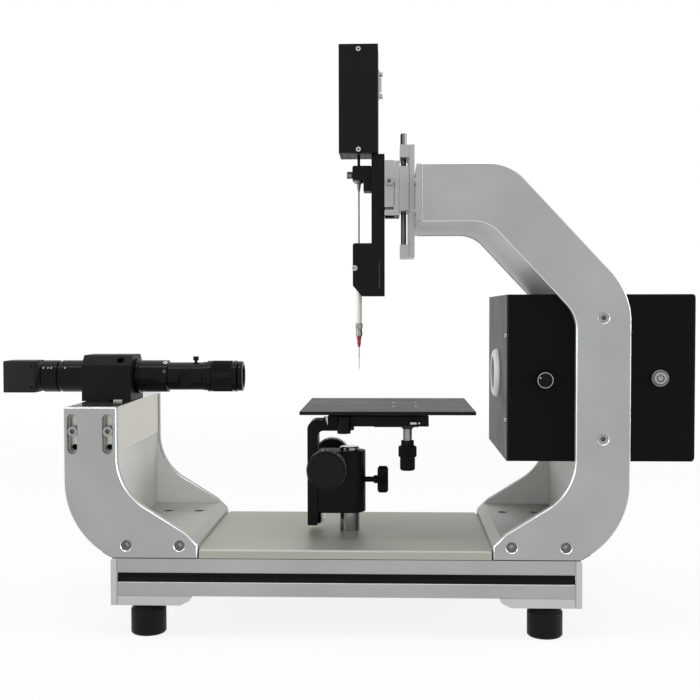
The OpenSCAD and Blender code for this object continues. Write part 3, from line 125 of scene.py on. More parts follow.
class Sheet:
    """A node tree that is written as expressions."""

    def __init__(self, tree):
        self.tree = tree
        tree.nodes.clear()

    def add(self, kind, settings, inputs, output=0):
        """One node: its settings first, then the values or links of its sockets."""
        made = self.tree.nodes.new("ShaderNode" + kind)
        for name, value in settings.items():
            if name == "stops":
                set_stops(made.color_ramp, value)
            else:
                setattr(made, name, value)
        for name, value in inputs.items():
            if isinstance(value, Value):
                self.tree.links.new(value.socket, made.inputs[name])
            else:
                made.inputs[name].default_value = value
        return Value(self, made.outputs[output]) if made.outputs else None

    def maths(self, operation, first, second):
        """One sum or other operation on two values."""
        return self.add("Math", {"operation": operation}, {0: first, 1: second})

    def place(self, stretch=(1, 1, 1)):
        """Object coordinates in metres, stretched along the axes."""
        where = self.add("TexCoord", {}, {}, "Object")
        return self.add("Mapping", {}, {"Vector": where, "Scale": stretch})

    def height(self):
        """Height in metres."""
        return self.add("SeparateXYZ", {}, {"Vector": self.place()}, "Z")

    def noise(self, size, detail, stretch=(1, 1, 1)):
        """Cloudy noise whose features are about size metres across."""
        return self.add(
            "TexNoise",
            {},
            {"Vector": self.place(stretch), "Scale": 1 / size, "Detail": detail},
            "Fac",
        )

    def steps(self, value, *stops):
        """A value through a ramp of (place, level) stops."""
        return self.add("ValToRGB", {"stops": stops}, {"Fac": value})

    def blend(self, share, first, second):
        """A mix of two colours."""
        return self.add("Mix", {"data_type": "RGBA"}, {0: share, 6: first, 7: second}, 2)

    def bump(self, height, depth, strength):
        """A normal that is disturbed by a height field, depth metres deep."""
        return self.add("Bump", {}, {"Height": height, "Distance": depth, "Strength": strength})

    def seen(self):
        """1 for the rays that show a thing to the camera, directly or in metal or glass."""
        camera, glossy, clear = (
            self.add("LightPath", {}, {}, "Is " + kind + " Ray")
            for kind in ("Camera", "Glossy", "Transmission")
        )
        return self.maths("MINIMUM", camera + glossy + clear, 1)


def set_stops(ramp, stops):
    """Gives a colour ramp its grey (place, level) stops."""
    while len(ramp.elements) < len(stops):
        ramp.elements.new(1)
    for element, (place, level) in zip(ramp.elements, stops):
        element.position = place
        element.color = (level, level, level, 1)


def shade(colour, factor):
    """A colour made lighter or darker, with its alpha."""
    return (*(min(1, c * factor) for c in colour), 1)


class Finish(Sheet):
    """A material: its sheet ends in one shader."""

    def __init__(self, name):
        self.material = bpy.data.materials.new(name)
        self.material.use_nodes = True
        super().__init__(self.material.node_tree)

    def surface(self, inputs):
        """Ends the sheet in a principled shader, and gives the material."""
        shader = self.add("BsdfPrincipled", {}, inputs)
        self.add("OutputMaterial", {}, {"Surface": shader})
        return self.material


# Finishes
def blasted_aluminium(name, colour, roughness, metallic=0.6, cloud_size=0.06, contrast=0.07):
    """Blasted and anodised aluminium: fine grain under slow cloudy shading."""
    finish = Finish(name)
    cloud = finish.noise(cloud_size, 3)
    grain = finish.noise(0.5 * MM, 2)
    tone = cloud * 0.7 + grain * 0.3
    return finish.surface({
        "Base Color": finish.blend(tone, shade(colour, 1 - 2 * contrast), shade(colour, 1 + 2 * contrast)),
        "Metallic": metallic,
        "Roughness": roughness - 0.07 + cloud * 0.14,
        "Normal": finish.bump(grain, 0.02 * MM, 0.5),
    })


def black_anodised(
    name, colour=(0.0075, 0.0075, 0.0079), roughness=0.46, specular=0.1, grain_depth=0.03 * MM,
):
    """Dyed black aluminium with a fine blasted grain that catches a little light."""
    finish = Finish(name)
    grain = finish.noise(0.6 * MM, 2)
    cloud = finish.noise(0.03, 2)
    return finish.surface({
        "Base Color": finish.blend(grain, shade(colour, 0.5), shade(colour, 1.5)),
        "Roughness": roughness - 0.08 + cloud * 0.16,
        "Specular IOR Level": specular,
        "Normal": finish.bump(grain, grain_depth, 0.6),
    })


def grooved_black(name):
    """The light box sleeve: black extrusion with fine grooves along its length."""
    pitch = 2.1 * MM
    finish = Finish(name)
    wave = finish.maths("SINE", finish.height() * (2 * math.pi / pitch), 0)
    ridge = finish.steps(wave, (0.0, 0), (0.35, 1))
    grain = finish.noise(0.5 * MM, 2)
    tone = ridge * 0.4 + grain * 0.6
    return finish.surface({
        "Base Color": finish.blend(tone, (0.002, 0.002, 0.0023, 1), (0.0056, 0.0056, 0.0062, 1)),
        "Roughness": 0.42 + grain * 0.12,
        "Specular IOR Level": 0.06,
        "Normal": finish.bump(ridge + grain * 0.15, 0.1 * MM, 0.5),
    })


def bright_steel(name, colour=(0.5, 0.5, 0.49), roughness=0.24):
    """Turned steel: thin circular tool marks and a slight tarnish."""
    finish = Finish(name)
    marks = finish.noise(0.6 * MM, 2, (1, 1, 4))
    cloud = finish.noise(0.012, 2)
    return finish.surface({
        "Base Color": finish.blend(cloud, shade(colour, 0.82), shade(colour, 1.18)),
        "Metallic": 1.0,
        "Roughness": roughness - 0.05 + marks * 0.12,
        "Normal": finish.bump(marks, 0.01 * MM, 0.5),
    })


def moulded_black(name, colour=(0.007, 0.007, 0.0073), roughness=0.5, specular=0.12):
    """Moulded plastic or rubber with a fine spark-eroded texture."""
    finish = Finish(name)
    texture = finish.noise(0.8 * MM, 3)
    wear = finish.noise(0.02, 2)
    return finish.surface({
        "Base Color": finish.blend(wear, shade(colour, 0.65), shade(colour, 1.35)),
        "Roughness": roughness - 0.1 + wear * 0.2,
        "Specular IOR Level": specular,
        "Normal": finish.bump(texture, 0.05 * MM, 0.5),
    })


def gloss_black(name):
    """The lens: gloss black over fine turning lines."""
    finish = Finish(name)
    turning = finish.noise(0.35 * MM, 1, (3, 1, 1))
    cloud = finish.noise(0.02, 2)
    return finish.surface({
        "Base Color": finish.blend(cloud, (0.001, 0.001, 0.0011, 1), (0.003, 0.003, 0.0032, 1)),
        "Roughness": 0.1 + turning * 0.1,
        "Specular IOR Level": 0.14,
        "Normal": finish.bump(turning, 0.004 * MM, 0.3),
    })


def coated_glass(name):
    """Front element of the lens: dark glass whose coating is faintly violet and green."""
    finish = Finish(name)
    tint = finish.noise(0.012, 2)
    return finish.surface({
        "Base Color": finish.blend(tint, (0.006, 0.003, 0.012, 1), (0.003, 0.01, 0.007, 1)),
        "Roughness": 0.03 + tint * 0.03,
        "Specular IOR Level": 0.5,
        "Coat Weight": 0.4,
    })


def opal_plastic(name, colour=(0.93, 0.93, 0.91)):
    """Opal or white plastic with a soft sheen."""
    finish = Finish(name)
    cloud = finish.noise(0.01, 2)
    return finish.surface({
        "Base Color": finish.blend(cloud, shade(colour, 0.95), shade(colour, 1.04)),
        "Roughness": 0.36 + cloud * 0.1,
        "Specular IOR Level": 0.4,
    })


def milky_glass(name):
    """Drawn opal glass, cream white, with a faint streak along its length."""
    finish = Finish(name)
    streak = finish.noise(2 * MM, 2, (1, 1, 0.1))
    return finish.surface({
        "Base Color": finish.blend(streak, (0.9, 0.89, 0.8, 1), (0.96, 0.95, 0.88, 1)),
        "Roughness": 0.12 + streak * 0.1,
        "Coat Weight": 0.5,
        "IOR": 1.47,
    })


def coloured_plastic(name, colour):
    """Dyed plastic with a thin gloss."""
    finish = Finish(name)
    cloud = finish.noise(1.5 * MM, 2)
    return finish.surface({
        "Base Color": finish.blend(cloud, shade(colour, 0.85), shade(colour, 1.15)),
        "Roughness": 0.25 + cloud * 0.12,
        "Coat Weight": 0.2,
    })


# Usual finish of each material slot
FINISHES = {
    "satin_aluminium": blasted_aluminium("satin_aluminium", (0.378, 0.391, 0.385), 0.42, 0.6, 0.06, 0.13),
    "deck_aluminium": blasted_aluminium("deck_aluminium", (0.39, 0.39, 0.335), 0.5, 0.55, 0.09),
    "black_anodised": black_anodised("black_anodised"),
    "stage_black": black_anodised("stage_black", (0.004, 0.004, 0.003), 0.42, 0.13, 0.003 * MM),
    "panel_black": black_anodised("panel_black", (0.02, 0.0195, 0.0165), 0.42, 0.14, 0.003 * MM),
    "mount_pale": blasted_aluminium("mount_pale", (0.56, 0.545, 0.475), 0.36, 0.85, 0.025),
    "bright_steel": bright_steel("bright_steel"),
    "black_plastic": moulded_black("black_plastic"),
    "strip_plastic": moulded_black("strip_plastic", (0.004, 0.004, 0.0042), 0.4, 0.1),
    "foot_rubber": moulded_black("foot_rubber", (0.005, 0.005, 0.0051), 0.45),
    "lens_black": gloss_black("lens_black"),
    "diffuser_white": opal_plastic("diffuser_white"),
    "board_white": opal_plastic("board_white", (0.7, 0.72, 0.7)),
    "syringe_glass": milky_glass("syringe_glass"),
    "luer_nickel": bright_steel("luer_nickel", (0.34, 0.33, 0.3), 0.28),
    "needle_red": coloured_plastic("needle_red", (0.45, 0.012, 0.03)),
    "motor_dark": moulded_black("motor_dark", (0.02, 0.02, 0.022)),
}

# Finishes of single pieces and faces
BRIGHT = FINISHES["bright_steel"]
PLASTIC = FINISHES["black_plastic"]
SLEEVE = grooved_black("grooved_sleeve")
SKIN = blasted_aluminium("skin_aluminium", (0.52, 0.525, 0.5), 0.5, 0.25)
# Paler copy of the skin finish: painted light on the inner webs, which the column shades
WEB_PAINTED_LIGHT = blasted_aluminium("web_painted_light", (0.67, 0.675, 0.635), 0.5, 0.25)
# Paler still: painted bounce light on the plates' inner faces
PAINTED_BOUNCE = blasted_aluminium("inner_painted_bounce", (0.88, 0.885, 0.845), 0.5, 0.25)
BAR = blasted_aluminium("bar_aluminium", (0.53, 0.53, 0.51), 0.42)
SLIDE = blasted_aluminium("slide_aluminium", (0.42, 0.43, 0.42), 0.36)
BLOCK = blasted_aluminium("block_aluminium", (0.42, 0.425, 0.39), 0.45, 0.5)
MILLED = blasted_aluminium("milled_aluminium", (0.42, 0.41, 0.37), 0.2, 1.0, 0.02)
CUT_EDGE = blasted_aluminium("cut_edge", (0.74, 0.75, 0.73), 0.3, 0.75, 0.02, 0.04)
# Dark steel of screw heads, which also paints shade in screw sockets and under the seated toes
DARK_STEEL_AND_SHADE = bright_steel("dark_steel_and_shade", (0.13, 0.13, 0.13), 0.4)
GREY_STEEL = bright_steel("grey_steel", (0.2, 0.195, 0.18), 0.4)
SCREW_STEEL = bright_steel("screw_steel", (0.33, 0.335, 0.33), 0.36)
POST_STEEL = bright_steel("post_steel", (0.28, 0.285, 0.285), 0.14)
CAMERA_BLACK = black_anodised("camera_black", (0.014, 0.014, 0.0138), 0.5, 0.14)
# Lighter grey with more sheen, which paints a glint on the focus knob teeth and on the seat's groove
GLINT_GREY = moulded_black("glint_painted_grey", (0.03, 0.03, 0.03), 0.4, 0.4)
# Black that paints shade in screw sockets, in the carriage pocket and on the screws in the foot blocks, and
# is also the print of the on-off sign
SHADE_AND_PRINT = black_anodised("shade_and_print_black", (0.014, 0.014, 0.014), 0.5)
FRONT_GLASS = coated_glass("front_glass")
# Grey opal that paints the shade in the hollow of the diffuser ring
PAINTED_SHADE_OPAL = opal_plastic("opal_painted_shade", (0.3, 0.3, 0.28))
PIN_GOLD = bright_steel("pin_gold", (0.7, 0.5, 0.22), 0.25)
WHITE_MARK = opal_plastic("white_mark", (0.75, 0.75, 0.73))


# Making of pieces
def add_piece(name, bm, body, slot, finishes=None, nodes=()):
    """A mesh that rides on a body and may stand for CAD nodes, in its slot's finish or in others."""
    mesh = bpy.data.meshes.new(name)
    bm.to_mesh(mesh)
    bm.free()
    # The normals that come with a CAD solid don't fit its changed faces
    cad_normals = mesh.attributes.get("custom_normal")
    if cad_normals:
        mesh.attributes.remove(cad_normals)
    for finish in finishes or [FINISHES[slot]]:
        mesh.materials.append(finish)
    mesh.shade_smooth()
    mesh.set_sharp_from_angle(angle=CREASE_ANGLE)
    piece = bpy.data.objects.new(name, mesh)
    bpy.context.scene.collection.objects.link(piece)
    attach(piece, body)
    if nodes:
        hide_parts(*nodes)


def stand_in(node, bm, finishes):
    """A dressed copy that takes the place of a CAD node."""
    add_piece(node + "_dressed", bm, BODY_OF[node], SLOT_OF[node], finishes, [node])


def merged(node):
    """A copy of a CAD solid with its triangles joined."""
    bm = bmesh.new()
    bm.from_mesh(frame["nodes"][node].data)
    bmesh.ops.remove_doubles(bm, verts=bm.verts, dist=WELD)
    return bm


def welded(node):
    """A copy of a CAD solid with its flat faces whole."""
    bm = merged(node)
    bmesh.ops.dissolve_limit(bm, angle_limit=FLAT_ANGLE, verts=bm.verts, edges=bm.edges)
    return bm


def bevel(bm, edges, width, segments=2, clamp=True):
    """Rounds edges and gives the new faces."""
    return bmesh.ops.bevel(
        bm, geom=edges, offset=width, offset_type="OFFSET", segments=segments, profile=0.5,
        affect="EDGES", material=-1, clamp_overlap=clamp,
    )["faces"]


def ease(bm, width, segments=2, spared=None):
    """Rounds the outward edges of a solid, apart from spared ones, and gives the new faces."""
    sharp = [
        edge for edge in bm.edges
        if edge.is_manifold and edge.is_convex and edge.calc_face_angle() > EDGE_ANGLE
        and not (spared and spared(edge))
    ]
    return bevel(bm, sharp, width, segments, clamp=False)


def paint(bm, choose):
    """Gives each face the finish whose number is chosen for its middle."""
    for face in bm.faces:
        face.material_index = choose(face.calc_center_median())


def shells(bm):
    """The separate shells of a mesh, each a list of faces."""
    for face in bm.faces:
        face.tag = False
    for first in bm.faces:
        if first.tag:
            continue
        first.tag = True
        shell = [first]
        for face in shell:
            for edge in face.edges:
                for near in edge.link_faces:
                    if not near.tag:
                        near.tag = True
                        shell.append(near)
        yield shell


def middle_line(shell):
    """Middle, long axis and half width of a screw's shell."""
    corners = [corner.co for face in shell for corner in face.verts]
    low = [min(corner[i] for corner in corners) for i in range(3)]
    high = [max(corner[i] for corner in corners) for i in range(3)]
    size = [high[i] - low[i] for i in range(3)]
    middle = Vector([(low[i] + high[i]) / 2 for i in range(3)])
    axis = size.index(max(size))
    return middle, axis, size[(axis + 1) % 3] / 2


def off_line(point, middle, axis):
    """Distance of a point from a line along an axis."""
    away = point - middle
    away[axis] = 0
    return away.length


# Shapes of small pieces, in millimetres
def set_down(bm, place=(0, 0, 0), axis=UP):
    """Turns a shape from Z to an axis, moves it to its place, and takes it from millimetres to metres."""
    turn = Vector(UP).rotation_difference(Vector(axis)).to_matrix().to_4x4()
    move = Matrix.Translation(Vector(place) * MM)
    bmesh.ops.transform(bm, matrix=move @ turn @ Matrix.Scale(MM, 4), verts=bm.verts)
    return bm


def turned(profile, steps):
    """A profile of (radius, height) points, spun round Z."""
    bm = bmesh.new()
    points = [bm.verts.new((radius, 0, height)) for radius, height in profile]
    lines = [bm.edges.new(pair) for pair in zip(points, points[1:])]
    bmesh.ops.spin(
        bm, geom=points + lines, cent=(0, 0, 0), axis=UP, angle=2 * math.pi,
        steps=steps, use_merge=True,
    )
    bmesh.ops.remove_doubles(bm, verts=bm.verts, dist=WELD / MM)
    bmesh.ops.recalc_face_normals(bm, faces=bm.faces)
    return bm


def slab(low, high, edge):
    """A block with eased edges between two corners."""
    bm = bmesh.new()
    bmesh.ops.create_cube(bm, size=1)
    bmesh.ops.scale(bm, vec=Vector(high) - Vector(low), verts=bm.verts)
    bmesh.ops.translate(bm, vec=(Vector(low) + Vector(high)) / 2, verts=bm.verts)
    bevel(bm, bm.edges, edge)
    return bm


def socket_head(radius, height, socket):
    """A screw head with a hexagon socket, its seat at zero; the socket has the second finish, which paints
    the shade in its hollow.
    """
    depth = height * 0.6
    rounding = height * 0.15
    bm = bmesh.new()
    bmesh.ops.create_circle(bm, segments=24, radius=radius)
    bmesh.ops.create_circle(bm, segments=6, radius=socket)
    rim = [edge for edge in bm.edges if edge.verts[0].co.length > (radius + socket) / 2]
    hexagon = [edge for edge in bm.edges if edge not in rim]
    bmesh.ops.bridge_loops(bm, edges=rim + hexagon)
    for loop, drop, index in ((rim, height, 0), (hexagon, depth, 1)):
        wall = bmesh.ops.extrude_edge_only(bm, edges=loop)["geom"]
        low = [item for item in wall if isinstance(item, bmesh.types.BMVert)]
        lines = [item for item in wall if isinstance(item, bmesh.types.BMEdge)]
        bmesh.ops.translate(bm, vec=(0, 0, -drop), verts=low)
        floor = [line for line in lines if set(line.verts) <= set(low)]
        closed = bmesh.ops.contextual_create(bm, geom=floor)["faces"]
        for item in wall + closed:
            if isinstance(item, bmesh.types.BMFace):
                item.material_index = index
    bmesh.ops.recalc_face_normals(bm, faces=bm.faces)
    bevel(bm, rim, rounding)
    bmesh.ops.translate(bm, vec=(0, 0, height), verts=bm.verts)
    return bm


def arc_bar(inner, outer, depth, start, sweep):
    """A flat bar bent round Z, from an angle through a sweep."""
    bm = bmesh.new()
    corners = [(inner, 0), (outer, 0), (outer, depth), (inner, depth)]
    end = bm.faces.new([bm.verts.new((radius, 0, height)) for radius, height in corners])
    bmesh.ops.rotate(bm, cent=(0, 0, 0), matrix=Matrix.Rotation(start, 3, "Z"), verts=bm.verts)
    bmesh.ops.spin(bm, geom=[end], cent=(0, 0, 0), axis=UP, angle=sweep, steps=24)
    bmesh.ops.holes_fill(bm, edges=bm.edges)
    bmesh.ops.recalc_face_normals(bm, faces=bm.faces)
    return bm


def toothed_ring(inner, outer, depth, teeth, height):
    """A ring round Z with flat-topped teeth, which have the second finish."""
    # A tooth has two corners at its tip and two at its root
    tip, whole = 2, 4
    steps = whole * teeth
    middle = (inner + outer) / 2
    bm = bmesh.new()
    for radius in (inner, outer):
        bmesh.ops.create_circle(bm, segments=steps, radius=radius)
    for corner in bm.verts:
        step = round(math.atan2(corner.co.y, corner.co.x) / (2 * math.pi) * steps) % whole
        if corner.co.length > middle and step >= tip:
            corner.co *= 1 - depth / outer
    flat = bmesh.ops.bridge_loops(bm, edges=bm.edges)["faces"]
    bmesh.ops.solidify(bm, geom=flat, thickness=height)
    bmesh.ops.recalc_face_normals(bm, faces=bm.faces)
    lowest = min(corner.co.z for corner in bm.verts)
    bmesh.ops.translate(bm, vec=(0, 0, -lowest), verts=bm.verts)
    for face in bm.faces:
        outside = face.calc_center_median().xy.length > middle
        upright = abs(face.normal.z) < SLANTED
        face.material_index = int(outside and upright)
    return bm


def wedge(points, depth):
    """A flat shape of (x, z) points, drawn out from zero to a depth along Y."""
    bm = bmesh.new()
    flat = bm.faces.new([bm.verts.new((x, 0, z)) for x, z in points])
    flat.normal_update()
    bmesh.ops.solidify(bm, geom=[flat], thickness=depth)
    bmesh.ops.recalc_face_normals(bm, faces=bm.faces)
    nearest = min(corner.co.y for corner in bm.verts)
    bmesh.ops.translate(bm, vec=(0, -nearest, 0), verts=bm.verts)
    return bm


def gather(shapes):
    """Several shapes as one."""
    whole = bmesh.new()
    for shape in shapes:
        mesh = bpy.data.meshes.new("shape")
        shape.to_mesh(mesh)
        shape.free()
        whole.from_mesh(mesh)
        bpy.data.meshes.remove(mesh)
    return whole


# Eased edges of solids that keep one finish, in millimetres
EDGES = {
    "base_end_plates": 0.4,
    "foot_bars": 0.5,
    "foot_blocks": 0.3,
    "arm_end_plate": 0.5,
    "light_left_panel": 0.3,
    "light_right_panel": 0.3,
    "height_rail": 0.3,
    "lens_holder": 0.4,
    "camera_body": 0.3,
    "focus_block": 0.5,
    "lift_bracket": 0.5,
    "x_slide": 0.2,
    "y_slide_plate": 0.3,
    "dispenser_spine": 0.35,
    "pump_housing": 0.4,
    "plunger_carriage": 0.3,
    "power_button": 0.5,
    "foot_front_left": 0.4,
    "foot_front_right": 0.4,
    "foot_rear_left": 0.4,
    "foot_rear_right": 0.4,
}

# Plates whose outlines have a machined chamfer: its width in millimetres and its finish
CHAMFERS = {
    "bracket_plates": (0.8, CUT_EDGE),
    "column_plates": (0.8, CUT_EDGE),
    "base_top_plate": (0.5, SKIN),
}

# Solids whose finish isn't the usual one of their slot
OWN_FINISH = {
    # The inner webs take a paler finish: painted light
    "inner_webs": WEB_PAINTED_LIGHT,
    "arm_web": SKIN,
    "outer_skins": SKIN,
    "foot_blocks": BLOCK,
    "foot_bars": BAR,
    "base_end_plates": BAR,
    "stage_post": POST_STEEL,
    "camera_body": CAMERA_BLACK,
    "syringe_plunger": GREY_STEEL,
    "plunger_screw": GREY_STEEL,
    "height_screw": GREY_STEEL,
    "power_button": SCREW_STEEL,
    "y_slide_plate": SLIDE,
    "height_carriage": SLIDE,
    "height_rail": SLIDE,
}


def dress_solids():
    """Eased copies of the main solids; the rest keep their shape and take a finish."""
    for node, solid in frame["nodes"].items():
        finish = OWN_FINISH.get(node, FINISHES[SLOT_OF[node]])
        for place in solid.material_slots:
            place.material = finish
        if node in EDGES:
            bm = welded(node)
            ease(bm, EDGES[node] * MM)
            stand_in(node, bm, [finish])


def dress_plates():
    """Bright chamfers and hole rims, inner faces painted paler as bounce light, and a dark line of painted
    shade where the toes are seated.
    """
    slot_half = 18 * MM
    holes = []
    for node, tall in (("frame_screws", 0), ("slot_screws", slot_half)):
        bm = merged(node)
        for shell in shells(bm):
            middle, axis, radius = middle_line(shell)
            if axis == Y:
                wide = radius + HOLE_MARGIN
                holes.append((middle, wide, wide + tall))
        bm.free()

    def at_hole(edge):
        middle = (edge.verts[0].co + edge.verts[1].co) / 2
        return any(
            abs(middle.x - hole.x) < wide and abs(middle.z - hole.z) < high
            for hole, wide, high in holes
        )

    for node, (width, edge_finish) in CHAMFERS.items():
        bm = welded(node)
        for face in bm.faces:
            along = abs(face.normal.y)
            inward = along > SQUARE and face.normal.y * face.calc_center_median().y < 0
            rim = SLANTED < along < SQUARE
            # Faces turned inward take a paler finish: painted bounce light
            face.material_index = 2 if inward else int(rim)
        for face in ease(bm, width * MM, 1, at_hole):
            # Chamfers that look down at the toes' seat are painted dark: a painted shadow line
            seated = face.normal.z < -DOWNWARD and face.calc_center_median().z < TOE_TOP
            face.material_index = 3 if seated else 1
        stand_in(node, bm, [FINISHES[SLOT_OF[node]], edge_finish, PAINTED_BOUNCE, DARK_STEEL_AND_SHADE])


def dress_profile():
    """The lips of the base's slots are bright; its top edges stay sharp under the plates."""
    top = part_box("base_profile")[1].z - 1 * MM
    bm = welded("base_profile")
    for face in ease(bm, 0.4 * MM, 1, lambda edge: edge.verts[0].co.z > top):
        face.material_index = 1
    stand_in("base_profile", bm, [FINISHES["satin_aluminium"], BAR])


def dress_screws():
    """Socket screws: steel heads with sockets painted darker as shade, dark heads round a socket painted
    lighter as a glint in the toes, and screws upright in the foot blocks painted dark all over as shade.
    """
    for node in ("frame_screws", "slot_screws", "y_slide_screw", "syringe_clamp_screw"):
        bm = merged(node)
        for shell in shells(bm):
            middle, axis, radius = middle_line(shell)
            # Upright screws are painted dark all over as shade; screws along Y have sockets painted darker
            # as shade, but in the toes a dark head round a socket painted lighter as a glint
            if axis == Z:
                head, socket = 2, 2
            elif axis == X:
                head, socket = 0, 0
            elif middle.z < TOE_TOP:
                head, socket = 1, 0
            else:
                head, socket = 0, 1
            for face in shell:
                deep = off_line(face.calc_center_median(), middle, axis) < SOCKET_SHARE * radius
                face.material_index = socket if deep else head
        bright = node == "syringe_clamp_screw"
        steel = [BRIGHT, SCREW_STEEL] if bright else [SCREW_STEEL, DARK_STEEL_AND_SHADE]
        stand_in(node, bm, steel + [SHADE_AND_PRINT])


def dress_light_box():
    """The sleeve is grooved, and the ring round its button is bright."""
    bm = welded("light_housing")
    ease(bm, 0.4 * MM)
    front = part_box("light_left_panel")[0].y - 0.2 * MM
    paint(bm, lambda middle: int(middle.y < front))
    stand_in("light_housing", bm, [SLEEVE, GREY_STEEL])


def dress_diffuser():
    """The hollow of the ring is painted a greyer opal than its bulge: painted shade."""
    low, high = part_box("diffuser_ring")
    centre = (low + high) / 2
    hollow_r = 15.6 * MM
    bm = merged("diffuser_ring")
    paint(bm, lambda middle: int(off_line(middle, centre, X) < hollow_r))
    stand_in("diffuser_ring", bm, [FINISHES["diffuser_white"], PAINTED_SHADE_OPAL])


def dress_controls():
    """Dimmer with a bright rim and a white dot, and a button with the usual on-off sign."""
    rim_width = 0.9 * MM
    rim_depth = 0.65 * MM
    low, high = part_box("dimmer_knob")
    centre = (low + high) / 2
    rim_r = (high.x - low.x) / 2 - rim_width
    bm = welded("dimmer_knob")
    ease(bm, 0.6 * MM)
    paint(bm, lambda middle: int(off_line(middle, centre, Y) > rim_r and middle.y < low.y + rim_depth))
    stand_in("dimmer_knob", bm, [FINISHES["strip_plastic"], BRIGHT])
    dot_left, dot_sink, dot_rise = 4.02, 0.5, 2.01
    dot = turned([(0, 0), (0.58, 0), (0.58, 0.55), (0.4, 0.65), (0, 0.7)], 20)
    place = (centre.x / MM - dot_left, low.y / MM + dot_sink, centre.z / MM + dot_rise)
    add_piece("dimmer_dot", set_down(dot, place, FRONT), "dimmer", "diffuser_white", [WHITE_MARK])

    low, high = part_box("power_button")
    centre = (low + high) / 2 / MM
    gap = math.radians(32)
    sign_t, sign_sink = 0.12, 0.04
    sign = gather([
        arc_bar(2.4, 3.2, sign_t, math.pi / 2 + gap, 2 * math.pi - 2 * gap),
        slab((-0.4, 1.2, 0), (0.4, 3.8, sign_t), 0.03),
    ])
    place = (centre.x, low.y / MM + sign_sink, centre.z)
    add_piece("power_sign", set_down(sign, place, FRONT), "button", "black_plastic", [SHADE_AND_PRINT])


def dress_mount():
    """The top of the camera's mount is milled smooth."""
    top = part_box("camera_mount_block")[1].z - 0.05 * MM
    bm = merged("camera_mount_block")
    ease(bm, 0.4 * MM, 2, lambda edge: min(corner.co.z for corner in edge.verts) < top)
    paint(bm, lambda middle: int(middle.z > top))
    stand_in("camera_mount_block", bm, [FINISHES["mount_pale"], MILLED])


def dress_lens():
    """Front glass in the lens, small screws on it and on the tube, and a shim under the holder."""
    low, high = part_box("lens_barrel")
    centre = (low + high) / 2
    glass_x = high.x - 2.8 * MM
    glass_r = 9.8 * MM
    bm = merged("lens_barrel")
    paint(bm, lambda middle: int(middle.x > glass_x and off_line(middle, centre, X) < glass_r))
    stand_in("lens_barrel", bm, [FINISHES["lens_black"], FRONT_GLASS])

    tube_r = 14.7
    axis_z = centre.z / MM
    step_x = -155.6
    speck_places = (-267.2, -263, -260, -247.3)

    def on_tube(shape, x, angle, sink):
        """A shape on the round of the tube, at an angle above the front."""
        out = Vector((0, -math.cos(math.radians(angle)), math.sin(math.radians(angle))))
        return set_down(shape, Vector((x, 0, axis_z)) + out * (tube_r - sink), out)

    clamp = on_tube(socket_head(radius=2.1, height=1.2, socket=0.95), step_x, angle=57, sink=0.4)
    add_piece("lens_clamp_screw", clamp, "camera_unit", "bright_steel", [BRIGHT, SHADE_AND_PRINT])
    grub = on_tube(socket_head(radius=1.5, height=0.8, socket=0.7), step_x, angle=20, sink=0.6)
    add_piece("lens_set_screw", grub, "camera_unit", "black_plastic", [DARK_STEEL_AND_SHADE, SHADE_AND_PRINT])
    specks = [
        on_tube(socket_head(radius=0.75, height=0.6, socket=0.35), x, angle=33, sink=0.4)
        for x in speck_places
    ]
    add_piece("tube_set_screws", gather(specks), "camera_unit", "bright_steel", [BRIGHT, SHADE_AND_PRINT])

    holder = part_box("lens_holder")[0] / MM
    shim_low = (holder.x + 29, holder.y - 0.8, holder.z)
    shim_high = (holder.x + 37, holder.y + 6, holder.z + 1.5)
    shim = slab(shim_low, shim_high, 0.2)
    add_piece("holder_shim", set_down(shim), "camera_unit", "bright_steel")


def dress_stage_plate():
    """The holes through the dyed plate show bare metal."""
    low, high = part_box("stage_plate")
    margin = 5 * MM

    def inside(point):
        return all(low[i] + margin < point[i] < high[i] - margin for i in (X, Y))

    bm = welded("stage_plate")
    ease(bm, 0.3 * MM, 2, lambda edge: inside(edge.verts[0].co))
    for face in bm.faces:
        heights = [corner.co.z for corner in face.verts]
        upright = max(heights) - min(heights) > WELD
        face.material_index = int(upright and inside(face.calc_center_median()))
    stand_in("stage_plate", bm, [FINISHES["stage_black"], SCREW_STEEL])


def dress_focus_knobs():
    """Knobs with coarse teeth, which have more sheen than their faces and a lighter grey: a painted
    highlight.
    """
    knob_t = 14
    rim_t = 12
    rim_r = 17.5
    face_r = 15.5
    bore_r = 3.06
    teeth, tooth_h = 52, 1.2
    low, high = (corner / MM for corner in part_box("focus_knobs"))
    middle = (low + high) / 2
    core = [
        (0, rim_t - 2), (bore_r, rim_t - 2), (bore_r, 0), (face_r - 0.3, 0), (face_r - 0.3, rim_t + 0.2),
        (face_r, rim_t + 0.4), (face_r, knob_t - 0.5), (face_r - 0.5, knob_t), (0, knob_t),
    ]
    knobs = []
    for y, side in ((low.y + knob_t, -1), (high.y - knob_t, 1)):
        for shape in (toothed_ring(face_r - 0.5, rim_r, tooth_h, teeth, rim_t), turned(core, 64)):
            knobs.append(set_down(shape, (middle.x, y, middle.z), (0, side, 0)))
    stand_in("focus_knobs", gather(knobs), [PLASTIC, GLINT_GREY])


